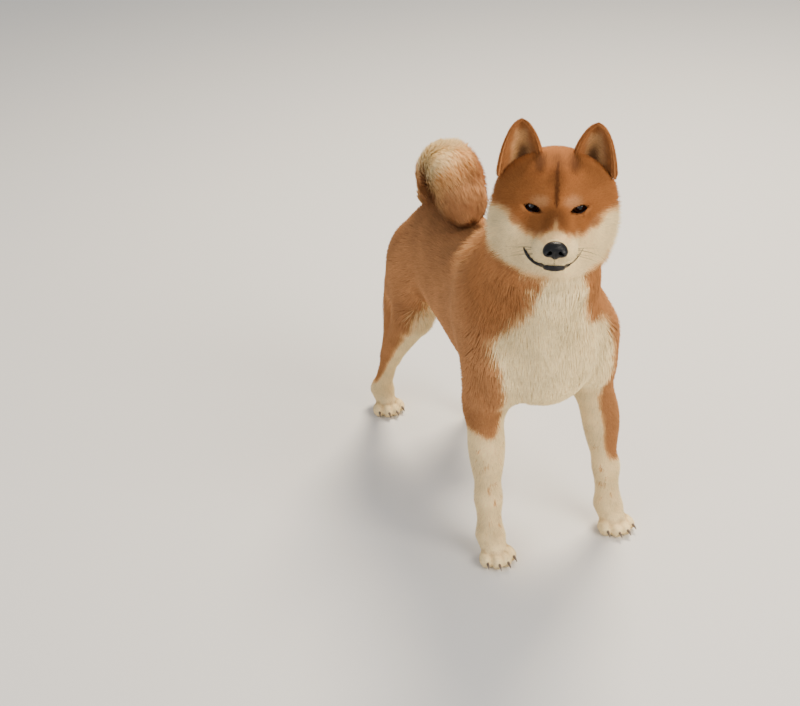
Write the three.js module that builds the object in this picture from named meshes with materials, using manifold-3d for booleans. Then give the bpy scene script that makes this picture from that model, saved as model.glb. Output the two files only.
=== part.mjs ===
// A standing shiba inu, life size, in millimetres.
// +X is the dog's left, -Y is forwards and +Z is up, with the soles of the paws at z = 0.
// The trunk, neck, legs and head are smooth blends of rounded lumps and tapered limbs.
// Each blend is turned into facets and parted by thin plane cuts where a person would name its parts.
import * as THREE from 'three';
import { mergeVertices } from 'three/addons/utils/BufferGeometryUtils.js';
import Module from 'manifold-3d';

const wasm = await Module();
wasm.setup();

// Driving sizes. Slack is how far a surface may move where small faces are joined.
const seam = 0.3;
const slack = 0.1;
const withersHeight = 392;
const chestFloor = 197;
const sides = { left: 1, right: -1 };

// Facet sizes of each region
const trunkStep = [21, 26, 21];
const neckStep = [21, 21, 22];
const foreStep = [12, 12, 22];
const hindStep = [12.5, 15, 17];
const headStep = [8, 8, 8];
const tailStep = [13, 13, 13];

// Head pose, and the head's own sizes, measured from the point midway between the eyes
const headPlace = new THREE.Vector3(-10.3, -230.9, 495.8);
const headYaw = THREE.MathUtils.degToRad(-26.5);
const headPitch = THREE.MathUtils.degToRad(-3.4);
const headRoll = THREE.MathUtils.degToRad(3.2);
const skullTop = 58;
const eyeCentre = [26.5, 9, 0];
const eyeRadius = 10;
const lidRadius = 12.6;
const lidOpening = { width: 22, height: 10.5, slant: THREE.MathUtils.degToRad(22), lean: 0.15, turn: -0.12 };
const noseCentre = [0, -62, -25];
const noseSize = [13.5, 9, 9.5];
const mouthCorner = [32, -18, -40];
const earBase = { at: [40, 31, 30], halfWidth: 27, depth: 19 };
const earTip = [43, 27, 91];
const earRoundness = 2.5;

// Legs: the centre line of each, from the trunk to the sole, and the radii at its joints
const foreLegs = {
  left: {
    shoulder: [74, -150, 290],
    elbow: [86, -136, 208],
    forearm: [99, -143, 154],
    wrist: [100, -150, 85],
    paw: [101, -158, 0],
  },
  right: {
    shoulder: [-54, -150, 290],
    elbow: [-61, -132, 208],
    forearm: [-64, -142, 156],
    wrist: [-67, -148, 85],
    paw: [-67, -153, 0],
  },
};
const foreRadii = { shoulder: 36, elbow: 25, forearm: 24, wrist: 16, pastern: 16 };
const forearmMuscle = [21, 23, 46];
const hindLegs = {
  left: {
    hip: [46, 150, 286],
    knee: [62, 104, 212],
    hock: [66, 185, 100],
    paw: [69, 172, 0],
  },
  right: {
    hip: [-32, 150, 286],
    knee: [-49, 124, 221],
    hock: [-48, 228, 107],
    paw: [-49, 270, 0],
  },
};
const hindRadii = { hip: 38, knee: 27, shank: 28, ankle: 14, hock: 13.5, pastern: 15 };
const breechRadii = { top: 26, tendon: 13 };

// Tail: points of its centre line and the radius out to the tips of its coat at each.
// Its core reaches less than half way from the tail's bones to those tips.
const tailLine = [
  { at: [10, 158, 350], radius: 26 },
  { at: [8, 151, 388], radius: 30 },
  { at: [5, 132, 418], radius: 35 },
  { at: [2, 102, 430], radius: 41 },
  { at: [0, 68, 418], radius: 41 },
  { at: [-2, 46, 402], radius: 32 },
];
const tailCore = 0.52;

// Locks of the long coat: how long, wide and thick each is, how far its tip stands off its root's
// surface, and how deep the root is sunk. The tail's stand in rings, and those of the last ring reach
// past the end of its centre line.
const locks = {
  ruff: { length: 42, width: 30, thickness: 6, lift: 4, sink: 5 },
  cheek: { length: 25, width: 15, thickness: 4.5, lift: 1.5, sink: 4 },
  breech: { length: 40, width: 22, thickness: 6, lift: 4, sink: 5 },
};
const tailLocks = { rings: 6, around: 6, length: 54, overlap: 1.15, thickness: 9 };
const tailRingSpan = { first: 12, last: 22, past: 24 };

// Smooth shapes: each is a function of a point that is below zero inside and near the distance outside

function lump(centre, size) {
  const [cx, cy, cz] = centre;
  const [sx, sy, sz] = size;
  return (x, y, z) => {
    const px = (x - cx) / sx;
    const py = (y - cy) / sy;
    const pz = (z - cz) / sz;
    const near = Math.hypot(px, py, pz);
    const slope = Math.hypot(px / sx, py / sy, pz / sz);
    return slope < 1e-9 ? -Math.min(sx, sy, sz) : near * (near - 1) / slope;
  };
}

function limb(start, startRadius, end, endRadius) {
  const along = end.map((value, k) => value - start[k]);
  const square = along.reduce((sum, value) => sum + value * value, 0);
  return (x, y, z) => {
    const px = x - start[0];
    const py = y - start[1];
    const pz = z - start[2];
    const raw = (px * along[0] + py * along[1] + pz * along[2]) / square;
    const t = Math.min(1, Math.max(0, raw));
    const away = Math.hypot(px - t * along[0], py - t * along[1], pz - t * along[2]);
    return away - (startRadius + (endRadius - startRadius) * t);
  };
}

function merge(softness, ...shapes) {
  return (x, y, z) => {
    let value = shapes[0](x, y, z);
    for (let k = 1; k < shapes.length; k += 1) {
      const other = shapes[k](x, y, z);
      const mix = Math.max(softness - Math.abs(value - other), 0) / softness;
      value = Math.min(value, other) - mix * mix * softness * 0.25;
    }
    return value;
  };
}

function turned(shape, matrix) {
  const m = matrix.clone().invert().elements;
  return (x, y, z) => shape(
    m[0] * x + m[4] * y + m[8] * z + m[12],
    m[1] * x + m[5] * y + m[9] * z + m[13],
    m[2] * x + m[6] * y + m[10] * z + m[14],
  );
}

function slopeOf(shape, [x, y, z]) {
  const h = 0.5;
  return [
    (shape(x + h, y, z) - shape(x - h, y, z)) / (2 * h),
    (shape(x, y + h, z) - shape(x, y - h, z)) / (2 * h),
    (shape(x, y, z + h) - shape(x, y, z - h)) / (2 * h),
  ];
}

// Moves a point to the surface of a smooth shape, along the shape's own slope
function snap(shape, point, rounds = 4) {
  let at = [...point];
  for (let k = 0; k < rounds; k += 1) {
    const value = shape(...at);
    const slope = slopeOf(shape, at);
    const square = Math.max(slope[0] ** 2 + slope[1] ** 2 + slope[2] ** 2, 0.05);
    at = at.map((part, n) => part - value * slope[n] / square);
  }
  return at;
}

// Where the corners of a cell's face are inside and outside in turn, the surface would cross itself:
// the corner nearest to it changes side, until no such face is left
function untangle(values, [nx, ny, nz]) {
  const strides = [1, nx, nx * ny];
  const inner = [nx - 1, ny - 1, nz - 1];
  let changed = true;
  while (changed) {
    changed = false;
    for (let at = 0; at < values.length; at += 1) {
      const cell = [at % nx, Math.floor(at / nx) % ny, Math.floor(at / (nx * ny))];
      for (let k = 0; k < 3; k += 1) {
        const [u, v] = [(k + 1) % 3, (k + 2) % 3];
        if (cell[u] >= inner[u] || cell[v] >= inner[v]) continue;
        const ring = [at, at + strides[u], at + strides[u] + strides[v], at + strides[v]];
        const [a, b, c, d] = ring.map((n) => values[n] < 0);
        if (a !== c || b !== d || a === b) continue;
        const nearest = ring.reduce((best, n) => (Math.abs(values[n]) < Math.abs(values[best]) ? n : best));
        values[nearest] = values[nearest] < 0 ? 0.01 : -0.01;
        changed = true;
      }
    }
  }
}

// Turns a smooth shape inside a box into a closed faceted surface, one vertex to each crossed cell
function facets(shape, low, high, step) {
  const [nx, ny, nz] = low.map((value, k) => Math.ceil((high[k] - value) / step[k]) + 1);
  const place = (...cell) => cell.map((value, k) => low[k] + value * step[k]);
  const index = (i, j, k) => (k * ny + j) * nx + i;
  const values = new Float64Array(nx * ny * nz);
  for (let k = 0; k < nz; k += 1) {
    for (let j = 0; j < ny; j += 1) {
      for (let i = 0; i < nx; i += 1) {
        const edge = i === 0 || j === 0 || k === 0 || i === nx - 1 || j === ny - 1 || k === nz - 1;
        const value = shape(...place(i, j, k));
        values[index(i, j, k)] = edge ? Math.max(value, step[0] * 0.4) : value;
      }
    }
  }
  untangle(values, [nx, ny, nz]);
  const corners = [];
  for (let c = 0; c < 8; c += 1) corners.push([c & 1, (c >> 1) & 1, (c >> 2) & 1]);
  const edges = [];
  for (let a = 0; a < 8; a += 1) {
    for (const bit of [1, 2, 4]) {
      if (!(a & bit)) edges.push([a, a | bit]);
    }
  }
  const positions = [];
  const cellVertex = new Int32Array(nx * ny * nz).fill(-1);
  for (let k = 0; k < nz - 1; k += 1) {
    for (let j = 0; j < ny - 1; j += 1) {
      for (let i = 0; i < nx - 1; i += 1) {
        const v = corners.map(([a, b, c]) => values[index(i + a, j + b, k + c)]);
        const sum = [0, 0, 0];
        let crossings = 0;
        for (const [a, b] of edges) {
          if ((v[a] < 0) === (v[b] < 0)) continue;
          const t = v[a] / (v[a] - v[b]);
          for (let n = 0; n < 3; n += 1) sum[n] += corners[a][n] + (corners[b][n] - corners[a][n]) * t;
          crossings += 1;
        }
        if (!crossings) continue;
        const start = place(i, j, k);
        const mean = start.map((value, n) => value + step[n] * sum[n] / crossings);
        const moved = snap(shape, mean, 2).map((value, n) => (
          Math.min(Math.max(value, start[n] + step[n] * 0.05), start[n] + step[n] * 0.95)
        ));
        cellVertex[index(i, j, k)] = positions.length / 3;
        positions.push(...moved);
      }
    }
  }
  const triangles = [];
  const far = (a, b) => Math.hypot(
    positions[3 * a] - positions[3 * b],
    positions[3 * a + 1] - positions[3 * b + 1],
    positions[3 * a + 2] - positions[3 * b + 2],
  );
  const quad = (a, b, c, d, flip) => {
    const ring = flip ? [a, d, c, b] : [a, b, c, d];
    if (far(ring[0], ring[2]) < far(ring[1], ring[3])) {
      triangles.push(ring[0], ring[1], ring[2], ring[0], ring[2], ring[3]);
    } else {
      triangles.push(ring[1], ring[2], ring[3], ring[1], ring[3], ring[0]);
    }
  };
  for (let k = 0; k < nz - 1; k += 1) {
    for (let j = 0; j < ny - 1; j += 1) {
      for (let i = 0; i < nx - 1; i += 1) {
        const here = values[index(i, j, k)] < 0;
        const cell = (a, b, c) => cellVertex[index(i + a, j + b, k + c)];
        if (here !== values[index(i + 1, j, k)] < 0) {
          quad(cell(0, -1, -1), cell(0, 0, -1), cell(0, 0, 0), cell(0, -1, 0), !here);
        }
        if (here !== values[index(i, j + 1, k)] < 0) {
          quad(cell(-1, 0, -1), cell(-1, 0, 0), cell(0, 0, 0), cell(0, 0, -1), !here);
        }
        if (here !== values[index(i, j, k + 1)] < 0) {
          quad(cell(-1, -1, 0), cell(0, -1, 0), cell(0, 0, 0), cell(-1, 0, 0), !here);
        }
      }
    }
  }
  return new wasm.Manifold(new wasm.Mesh({
    numProp: 3,
    vertProperties: new Float32Array(positions),
    triVerts: new Uint32Array(triangles),
  }));
}

// A seeded draw between -1 and 1
let seed = 20411;
function draw() {
  seed = (seed * 16807) % 2147483647;
  return 2 * (seed / 2147483647) - 1;
}

function outOf(shape, at) {
  return new THREE.Vector3(...slopeOf(shape, at.toArray())).normalize();
}

// One lock: flat, tapered and bent over the shape that it grows from. Its root is sunk at the snapped
// point, and it widens, then narrows to a tip that lies off the surface along the lie of the coat.
function lockGeometry(shape, near, lie, { length, width, thickness, lift, sink }) {
  const rows = 3;
  const reach = length * (1 + 0.12 * draw());
  const sway = 0.1 * draw();
  const rise = lift * (1 + 0.15 * draw());
  const spine = [];
  let at = new THREE.Vector3(...snap(shape, near));
  for (let row = 0; row <= rows; row += 1) {
    const out = outOf(shape, at);
    const along = new THREE.Vector3(...lie);
    along.addScaledVector(out, -along.dot(out)).normalize();
    const side = new THREE.Vector3().crossVectors(along, out);
    along.addScaledVector(side, sway).normalize();
    spine.push({ at: at.clone(), out, side });
    const next = at.clone().addScaledVector(along, reach / rows);
    at = new THREE.Vector3(...snap(shape, next.toArray()));
  }
  const lock = new THREE.ConeGeometry(1, 1, 4, rows);
  const place = lock.attributes.position;
  for (let v = 0; v < place.count; v += 1) {
    const t = place.getY(v) + 0.5;
    const row = Math.round(t * rows);
    const spread = Math.max(1 - t, 1e-6);
    const swell = row === rows ? 0 : Math.sin(Math.PI * (0.14 + 0.55 * t));
    const height = -sink + (sink + rise) * (1 - (1 - t) ** 2);
    const corner = spine[row].at.clone()
      .addScaledVector(spine[row].side, place.getX(v) / spread * swell * width / 2)
      .addScaledVector(spine[row].out, height + place.getZ(v) / spread * swell * thickness / 2);
    place.setXYZ(v, ...corner.toArray());
  }
  return lock;
}

// Solids from geometry, and geometry from solids

function solidOf(geometry) {
  const bare = geometry.clone();
  bare.deleteAttribute('normal');
  bare.deleteAttribute('uv');
  const merged = mergeVertices(bare, 1e-4);
  return new wasm.Manifold(new wasm.Mesh({
    numProp: 3,
    vertProperties: new Float32Array(merged.attributes.position.array),
    triVerts: new Uint32Array(merged.index.array),
  }));
}

function largest(solid) {
  const parts = solid.decompose();
  return parts.reduce((best, part) => (part.volume() > best.volume() ? part : best), parts[0]);
}

function geometryOf(solid) {
  const mesh = largest(solid).asOriginal().simplify(slack).getMesh();
  const geometry = new THREE.BufferGeometry();
  geometry.setAttribute('position', new THREE.BufferAttribute(new Float32Array(mesh.vertProperties), 3));
  geometry.setIndex(new THREE.BufferAttribute(new Uint32Array(mesh.triVerts), 1));
  geometry.computeVertexNormals();
  return geometry;
}

// All of space on the side of a plane that its normal points to, less a gap
function beyond({ at, way }, gap = seam / 2) {
  const reach = 1200;
  const box = new THREE.BoxGeometry(2 * reach, 2 * reach, reach);
  box.translate(0, 0, reach / 2 + gap);
  const up = new THREE.Vector3(0, 0, 1);
  box.applyQuaternion(new THREE.Quaternion().setFromUnitVectors(up, new THREE.Vector3(...way).normalize()));
  box.translate(...at);
  return solidOf(box);
}

function before({ at, way }, gap = seam / 2) {
  return beyond({ at, way: way.map((value) => -value) }, gap);
}

function kept(solid, ...spaces) {
  return spaces.reduce((rest, space) => rest.intersect(space), solid);
}

// The space that lies beyond all of some planes, and a solid less that space and the seam round it
function inside(planeList) {
  return kept(...planeList.map((plane) => beyond(plane)));
}

function without(solid, ...planeLists) {
  return planeLists.reduce((rest, list) => (
    rest.subtract(kept(...list.map((plane) => beyond(plane, -seam / 2))))
  ), solid);
}

// A node's solid with its locks, as one closed body
function withLocks(core, lockSolids) {
  return largest(lockSolids.reduce((sum, lock) => sum.add(lock), core));
}

const parts = new THREE.Group();

function addNode(name, solid, colour, roughness = 0.85) {
  const material = new THREE.MeshStandardMaterial({ color: colour, roughness, metalness: 0 });
  const mesh = new THREE.Mesh(geometryOf(solid), material);
  mesh.name = name;
  parts.add(mesh);
  return mesh;
}

// Trunk, as one blend

const chestHeight = withersHeight - 6 - chestFloor;
const trunk = merge(
  34,
  lump([6, -70, chestFloor + chestHeight / 2], [76, 145, chestHeight / 2]),
  lump([3, -105, 328], [56, 86, 62]),
  lump([5, 75, 316], [60, 120, 58]),
  lump([5, 40, 284], [57, 118, 47]),
  lump([9, 138, 312], [45, 50, 54]),
  lump([8, -170, 290], [58, 48, 68]),
);
const shoulders = [
  lump([76, -140, 280], [27, 50, 66]),
  lump([-55, -138, 298], [28, 52, 72]),
];

function foreLeg({ shoulder, elbow, forearm, wrist, paw }) {
  const pastern = [(paw[0] + wrist[0]) / 2, paw[1] + 4, 32];
  const pawTop = [paw[0], paw[1] - 8, 15];
  const radii = foreRadii;
  return merge(
    12,
    limb(shoulder, radii.shoulder, elbow, radii.elbow + 1),
    limb(elbow, radii.forearm, wrist, radii.wrist),
    lump(forearm, forearmMuscle),
    limb(wrist, radii.wrist + 0.5, pastern, radii.pastern),
    limb(pastern, radii.pastern, pawTop, radii.pastern + 1),
  );
}

function hindLeg({ hip, knee, hock, paw }) {
  const ankle = [paw[0], paw[1] + 6, 32];
  const pawTop = [paw[0], paw[1] - 8, 15];
  const outward = Math.sign(hip[0]);
  const breech = [hip[0] + 10 * outward, hip[1] + 30, hip[2] - 48];
  const tendon = [hock[0], hock[1] - 4, hock[2] + 22];
  const radii = hindRadii;
  return merge(
    14,
    lump([hip[0] + 8 * outward, hip[1] + 8, hip[2] - 26], [29, 52, 72]),
    limb(hip, radii.hip, knee, radii.knee),
    limb(knee, radii.shank, hock, radii.ankle),
    limb(breech, breechRadii.top, tendon, breechRadii.tendon),
    limb([hock[0], hock[1] + 3, hock[2]], radii.hock, ankle, radii.hock),
    limb(ankle, radii.pastern, pawTop, radii.pastern),
  );
}

const neckShape = merge(
  30,
  limb([3, -112, 326], 82, [2, -182, 440], 64),
  limb([6, -172, 330], 60, [-4, -205, 412], 54),
);

const body = merge(
  26,
  trunk,
  ...shoulders,
  ...Object.values(foreLegs).map(foreLeg),
  ...Object.values(hindLegs).map(hindLeg),
  neckShape,
);

// Head, as one blend in its own frame

const headMatrix = new THREE.Matrix4()
  .makeRotationFromEuler(new THREE.Euler(headPitch, headRoll, headYaw, 'ZXY'))
  .setPosition(headPlace);

function paired(shapeAt) {
  return Object.values(sides).map(shapeAt);
}

const skull = merge(
  16,
  lump([0, 38, skullTop - 44], [54, 56, 44]),
  lump([0, 14, 16], [42, 28, 28]),
  ...paired((side) => lump([34 * side, 38, 8], [35, 38, 34])),
  ...paired((side) => lump([40 * side, 34, -24], [32, 44, 40])),
  ...paired((side) => lump([22 * side, 3, 13], [16, 9, 8])),
);
const muzzle = merge(
  10,
  limb([0, 0, -20], 30, [0, -47, -25], 16.5),
  ...paired((side) => lump([12 * side, -42, -32], [14, 19, 12])),
  limb([0, 2, -46], 22, [0, -45, -47], 11.5),
);
const headLocal = merge(14, skull, muzzle);
const wholeBody = merge(24, body, turned(headLocal, headMatrix));

// Planes that part the body

function headPlane(at, way) {
  const turn = new THREE.Matrix3().setFromMatrix4(headMatrix);
  return {
    at: new THREE.Vector3(...at).applyMatrix4(headMatrix).toArray(),
    way: new THREE.Vector3(...way).applyMatrix3(turn).toArray(),
  };
}

const neckBase = { at: [0, -150, 350], way: [0, -0.5, 0.86] };
const midChest = { at: [0, -18, 300], way: [0, 1, 0] };
const flank = { at: [0, 84, 300], way: [0, 1, 0] };
const headSpace = [
  headPlane([0, 66, 0], [0, -0.95, 0.31]),
  headPlane([0, 0, -71], [0, -0.12, 0.99]),
];

function legPlane(side, innerX, innerZ, outerX, outerZ) {
  const run = outerX - innerX;
  const rise = outerZ - innerZ;
  return { at: [side * innerX, 0, innerZ], way: [side * rise, 0, -run] };
}

const foreSpaces = {
  left: [legPlane(1, 46, 196, 112, 268), { at: [0, -84, 200], way: [0, -1, 0.1] }],
  right: [legPlane(-1, 34, 200, 88, 262), { at: [0, -84, 200], way: [0, -1, 0.1] }],
};
const hindSpaces = {
  left: [legPlane(1, 16, 228, 94, 296), { at: [0, 74, 200], way: [0, 1, -0.2] }],
  right: [legPlane(-1, 12, 222, 84, 290), { at: [0, 92, 200], way: [0, 1, -0.2] }],
};

const furRed = 0xb8743c;
const furCream = 0xe6dccb;
const furPale = 0xd9c4a4;
const noseBlack = 0x1d1c20;
const eyeBrown = 0x2a1a12;

// Trunk and neck

const trunkSolid = kept(
  without(
    facets(body, [-130, -262, 150], [150, 284, 440], trunkStep),
    ...Object.values(foreSpaces),
    ...Object.values(hindSpaces),
  ),
  before(neckBase),
);
addNode('chest', kept(trunkSolid, before(midChest)), furRed);
addNode('belly', kept(trunkSolid, beyond(midChest), before(flank)), furRed);
addNode('rump', kept(trunkSolid, beyond(flank)), furRed);
// The ruff: rows of locks round the back and sides of the neck, lying down and back to the shoulders
const neckSolid = facets(wholeBody, [-120, -300, 290], [130, 0, 570], neckStep);
const ruffRows = [
  { middle: [0, -150, 405], count: 9, reach: 1.9 },
  { middle: [-4, -172, 455], count: 7, reach: 1.6 },
];
const ruffLocks = [];
for (const { middle, count, reach } of ruffRows) {
  for (let k = 0; k < count; k += 1) {
    const turn = Math.PI / 2 + reach * (2 * k / (count - 1) - 1);
    const [across, back] = [Math.cos(turn), Math.sin(turn)];
    const near = [middle[0] + 75 * across, middle[1] + 75 * back, middle[2] - 26 * back];
    ruffLocks.push(solidOf(lockGeometry(wholeBody, near, [0, 0.42, -0.9], locks.ruff)));
  }
}
const ruffSolid = withLocks(kept(neckSolid, beyond(neckBase)), ruffLocks);
addNode('neck', kept(without(ruffSolid, headSpace), beyond(neckBase)), furRed);

// Legs and paws

// A paw: the end of the leg, its pad, four toes in a fan and their claws, cut flat at the sole
function pawSolid(legEnd, paw, outward) {
  const pad = new THREE.SphereGeometry(1, 7, 4);
  pad.scale(17, 15, 11);
  pad.translate(paw[0], paw[1] - 6, 7.5);
  const pieces = [legEnd, solidOf(pad)];
  const toeSpread = 10.5;
  for (let toe = 0; toe < 4; toe += 1) {
    const place = toe - 1.5;
    const forward = Math.abs(place) < 1 ? -25 : -16;
    const turn = place * 0.13 + outward * 0.05;
    const shape = new THREE.SphereGeometry(1, 6, 4);
    shape.scale(8.4, 14, 9.8);
    shape.rotateZ(turn);
    shape.translate(paw[0] + place * toeSpread, paw[1] + forward, 8.2);
    pieces.push(solidOf(shape));
    const claw = new THREE.ConeGeometry(2.6, 12, 3);
    claw.rotateX(Math.PI * 0.64);
    claw.rotateZ(turn);
    claw.translate(paw[0] + place * toeSpread * 1.14, paw[1] + forward - 13.5, 7);
    pieces.push(solidOf(claw));
  }
  const whole = pieces.reduce((sum, piece) => sum.add(piece));
  return whole.trimByPlane([0, 0, 1], 0);
}

function legSolid(points, space, innerX, outward, step) {
  const xs = points.map(([x]) => x);
  const ys = points.map(([, y]) => y);
  const low = [Math.min(...xs) - 60, Math.min(...ys) - 70, -12];
  const high = [Math.max(...xs) + 60, Math.max(...ys) + 70, 320];
  if (outward > 0) low[0] = Math.max(low[0], innerX);
  if (outward < 0) high[0] = Math.min(high[0], innerX);
  return kept(facets(body, low, high, step), inside(space));
}

for (const [side, leg] of Object.entries(foreLegs)) {
  const sign = sides[side];
  const points = [leg.elbow, leg.wrist, leg.paw];
  const solid = legSolid(points, foreSpaces[side], 8 + 12 * sign, sign, foreStep);
  const wristCut = { at: [0, leg.paw[1], 40], way: [0, 0.2, -1] };
  addNode(`foreleg_${side}`, kept(solid, before(wristCut)), furRed);
  addNode(`forepaw_${side}`, pawSolid(kept(solid, beyond(wristCut)), leg.paw, sign), furCream);
}

for (const [side, leg] of Object.entries(hindLegs)) {
  const sign = sides[side];
  const points = [leg.hip, leg.knee, leg.hock, leg.paw];
  const solid = legSolid(points, hindSpaces[side], 6, sign, hindStep);
  const kneeCut = {
    at: leg.knee.map((value, k) => value + (leg.hock[k] - value) * 0.2),
    way: leg.hock.map((value, k) => value - leg.knee[k]),
  };
  const hockCut = { at: leg.hock, way: [0, 0.35, -1] };
  const pawCut = { at: [0, leg.paw[1], 34], way: [0, 0, -1] };
  // The breeches: locks down the back of the thigh
  const breechLocks = [];
  for (let row = 0; row < 3; row += 1) {
    for (let k = 0; k < 2; k += 1) {
      const near = [
        leg.hip[0] + sign * (18 * k + 4 - 5 * row),
        leg.hip[1] + 60 - 5 * row,
        leg.hip[2] - 36 - 26 * row,
      ];
      breechLocks.push(solidOf(lockGeometry(body, near, [0, -0.25, -1], locks.breech)));
    }
  }
  const breechSolid = kept(withLocks(solid, breechLocks), inside(hindSpaces[side]));
  addNode(`thigh_${side}`, kept(breechSolid, before(kneeCut)), furRed);
  addNode(`shank_${side}`, kept(solid, beyond(kneeCut), before(hockCut)), furRed);
  addNode(`hock_${side}`, kept(solid, beyond(kneeCut), beyond(hockCut), before(pawCut)), furRed);
  addNode(`hindpaw_${side}`, pawSolid(kept(solid, beyond(pawCut)), leg.paw, sign), furCream);
}

// Head

function onHead(geometry) {
  return solidOf(geometry.applyMatrix4(headMatrix));
}

// A lifted solid stands off the one it was cut to by a little more than a seam
function lifted(solid, way) {
  const off = new THREE.Vector3(...way).transformDirection(headMatrix).multiplyScalar(seam + 0.1);
  return solid.translate(off.toArray());
}

function ball(centre, radius, across = 14, down = 10) {
  const shape = new THREE.SphereGeometry(radius, across, down);
  return shape.translate(...centre);
}

// The opening between the lids: an almond, slanted up towards the ear, cut straight forwards
function lidOpeningCut(sign) {
  const { width, height, slant, lean, turn } = lidOpening;
  const outline = new THREE.Shape();
  outline.moveTo(-width / 2, 0);
  outline.quadraticCurveTo(0, height, width / 2, 0);
  outline.quadraticCurveTo(0, -height, -width / 2, 0);
  const cut = new THREE.ExtrudeGeometry(outline, { depth: 30, bevelEnabled: false, curveSegments: 6 });
  cut.rotateX(Math.PI / 2);
  cut.rotateY(-slant * sign);
  cut.rotateX(-lean);
  cut.rotateZ(turn * sign);
  return cut.translate(eyeCentre[0] * sign, eyeCentre[1], eyeCentre[2]);
}

// The line of the mouth, from one corner round under the nose to the other, on the muzzle's surface
const mouthHalf = [
  mouthCorner,
  [25, -36, -49],
  [14, -52, -50],
  [4, -60, -46],
];
const mouthPath = [
  ...mouthHalf.map(([x, y, z]) => [-x, y, z]),
  ...mouthHalf.toReversed(),
].map((point) => new THREE.Vector3(...snap(headLocal, point)));
const mouthCurve = new THREE.CatmullRomCurve3(mouthPath);

function alongMouth(radius, sideCount, steps) {
  const section = new THREE.Shape();
  for (let k = 0; k < sideCount; k += 1) {
    const angle = 2 * Math.PI * k / sideCount;
    const [x, y] = [radius * Math.cos(angle), radius * Math.sin(angle)];
    if (k === 0) section.moveTo(x, y);
    else section.lineTo(x, y);
  }
  section.closePath();
  return new THREE.ExtrudeGeometry(section, { steps, extrudePath: mouthCurve, bevelEnabled: false });
}

// An ear: a cupped shell of crescent sections, open forwards, narrowing to its tip
function earShell(sign) {
  const rows = 8;
  const across = 6;
  const positions = [];
  const triangles = [];
  const rise = earTip.map((value, k) => value - earBase.at[k]);
  for (let row = 0; row <= rows; row += 1) {
    const t = 1 - (1 - row / rows) ** 1.6;
    const taper = Math.sqrt(Math.max(1 - t ** earRoundness, 0.004));
    const halfWidth = earBase.halfWidth * taper * (1 - 0.28 * t);
    const depth = earBase.depth * taper;
    const wall = Math.min(7 - 3.5 * t, depth * 0.6);
    const rim = Math.min(5 - 2.5 * t, halfWidth * 0.45);
    const loop = [];
    for (let k = 0; k <= across; k += 1) {
      const angle = -Math.PI / 2 + Math.PI * k / across;
      loop.push([halfWidth * Math.sin(angle), depth * Math.cos(angle)]);
    }
    for (let k = across; k >= 0; k -= 1) {
      const angle = -Math.PI / 2 + Math.PI * k / across;
      loop.push([(halfWidth - rim) * Math.sin(angle), (depth - wall) * Math.cos(angle) - 1]);
    }
    for (const [u, v] of loop) {
      positions.push(
        sign * (earBase.at[0] + rise[0] * t + u),
        earBase.at[1] + rise[1] * t + v - 0.22 * u,
        earBase.at[2] + rise[2] * t - 0.12 * u * (1 - t),
      );
    }
  }
  const ring = 2 * (across + 1);
  const add = (a, b, c) => triangles.push(...(sign > 0 ? [a, b, c] : [a, c, b]));
  for (let row = 0; row < rows; row += 1) {
    for (let k = 0; k < ring; k += 1) {
      const [a, b] = [row * ring + k, row * ring + (k + 1) % ring];
      add(a, a + ring, b);
      add(b, a + ring, b + ring);
    }
  }
  for (const [row, flip] of [[0, false], [rows, true]]) {
    for (let k = 0; k < across; k += 1) {
      const [a, b] = [row * ring + k, row * ring + k + 1];
      const [c, d] = [row * ring + ring - 2 - k, row * ring + ring - 1 - k];
      if (flip) {
        add(a, d, b);
        add(b, d, c);
      } else {
        add(a, b, d);
        add(b, c, d);
      }
    }
  }
  const geometry = new THREE.BufferGeometry();
  geometry.setAttribute('position', new THREE.BufferAttribute(new Float32Array(positions), 3));
  geometry.setIndex(triangles);
  return geometry;
}

let headSolid = facets(wholeBody, [-115, -330, 370], [105, -120, 590], headStep);
const lips = onHead(alongMouth(2.3, 4, 16));
headSolid = headSolid.add(lips);
for (const sign of Object.values(sides)) {
  const centre = [eyeCentre[0] * sign, eyeCentre[1], eyeCentre[2]];
  headSolid = headSolid
    .add(onHead(ball(centre, lidRadius, 12, 8)))
    .subtract(onHead(ball(centre, eyeRadius + seam + 0.2, 12, 8)))
    .subtract(onHead(lidOpeningCut(sign)));
}
headSolid = headSolid.subtract(onHead(alongMouth(1.1, 3, 16)));
const bareHead = headSolid;

// Locks down the edge of each cheek, lying back and down to the ruff
const cheekLocks = [];
for (const sign of Object.values(sides)) {
  for (let k = 0; k < 6; k += 1) {
    const near = [sign * (74 - 5 * (k % 2)), 22 + 9 * (k % 2), 14 - 13 * k];
    const lie = [0.2 * sign, 1, -0.55 - 0.1 * k];
    cheekLocks.push(onHead(lockGeometry(headLocal, near, lie, locks.cheek)));
  }
}

// Nose leather, with a nostril on each side
const noseBlock = new THREE.SphereGeometry(1, 12, 8);
noseBlock.scale(...noseSize);
noseBlock.translate(...noseCentre);
let noseSolid = onHead(noseBlock);
for (const sign of Object.values(sides)) {
  const nostril = new THREE.SphereGeometry(1, 8, 6);
  nostril.scale(2.6, 5, 2.4);
  nostril.rotateY(0.5 * sign);
  nostril.translate(6 * sign, noseCentre[1] - 7, noseCentre[2] - 1);
  noseSolid = noseSolid.subtract(onHead(nostril));
}
noseSolid = lifted(noseSolid.subtract(bareHead), [0, -1, 0]);
const headNode = kept(withLocks(bareHead, cheekLocks), inside(headSpace));
addNode('head', headNode, furRed);
addNode('nose', noseSolid, noseBlack, 0.4);
for (const [side, sign] of Object.entries(sides)) {
  const centre = [eyeCentre[0] * sign, eyeCentre[1], eyeCentre[2]];
  addNode(`eye_${side}`, onHead(ball(centre, eyeRadius, 12, 8)), eyeBrown, 0.1);
  const ear = onHead(earShell(sign)).subtract(bareHead);
  addNode(`ear_${side}`, lifted(largest(ear), [0, 0, 1]), furRed);
}

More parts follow.
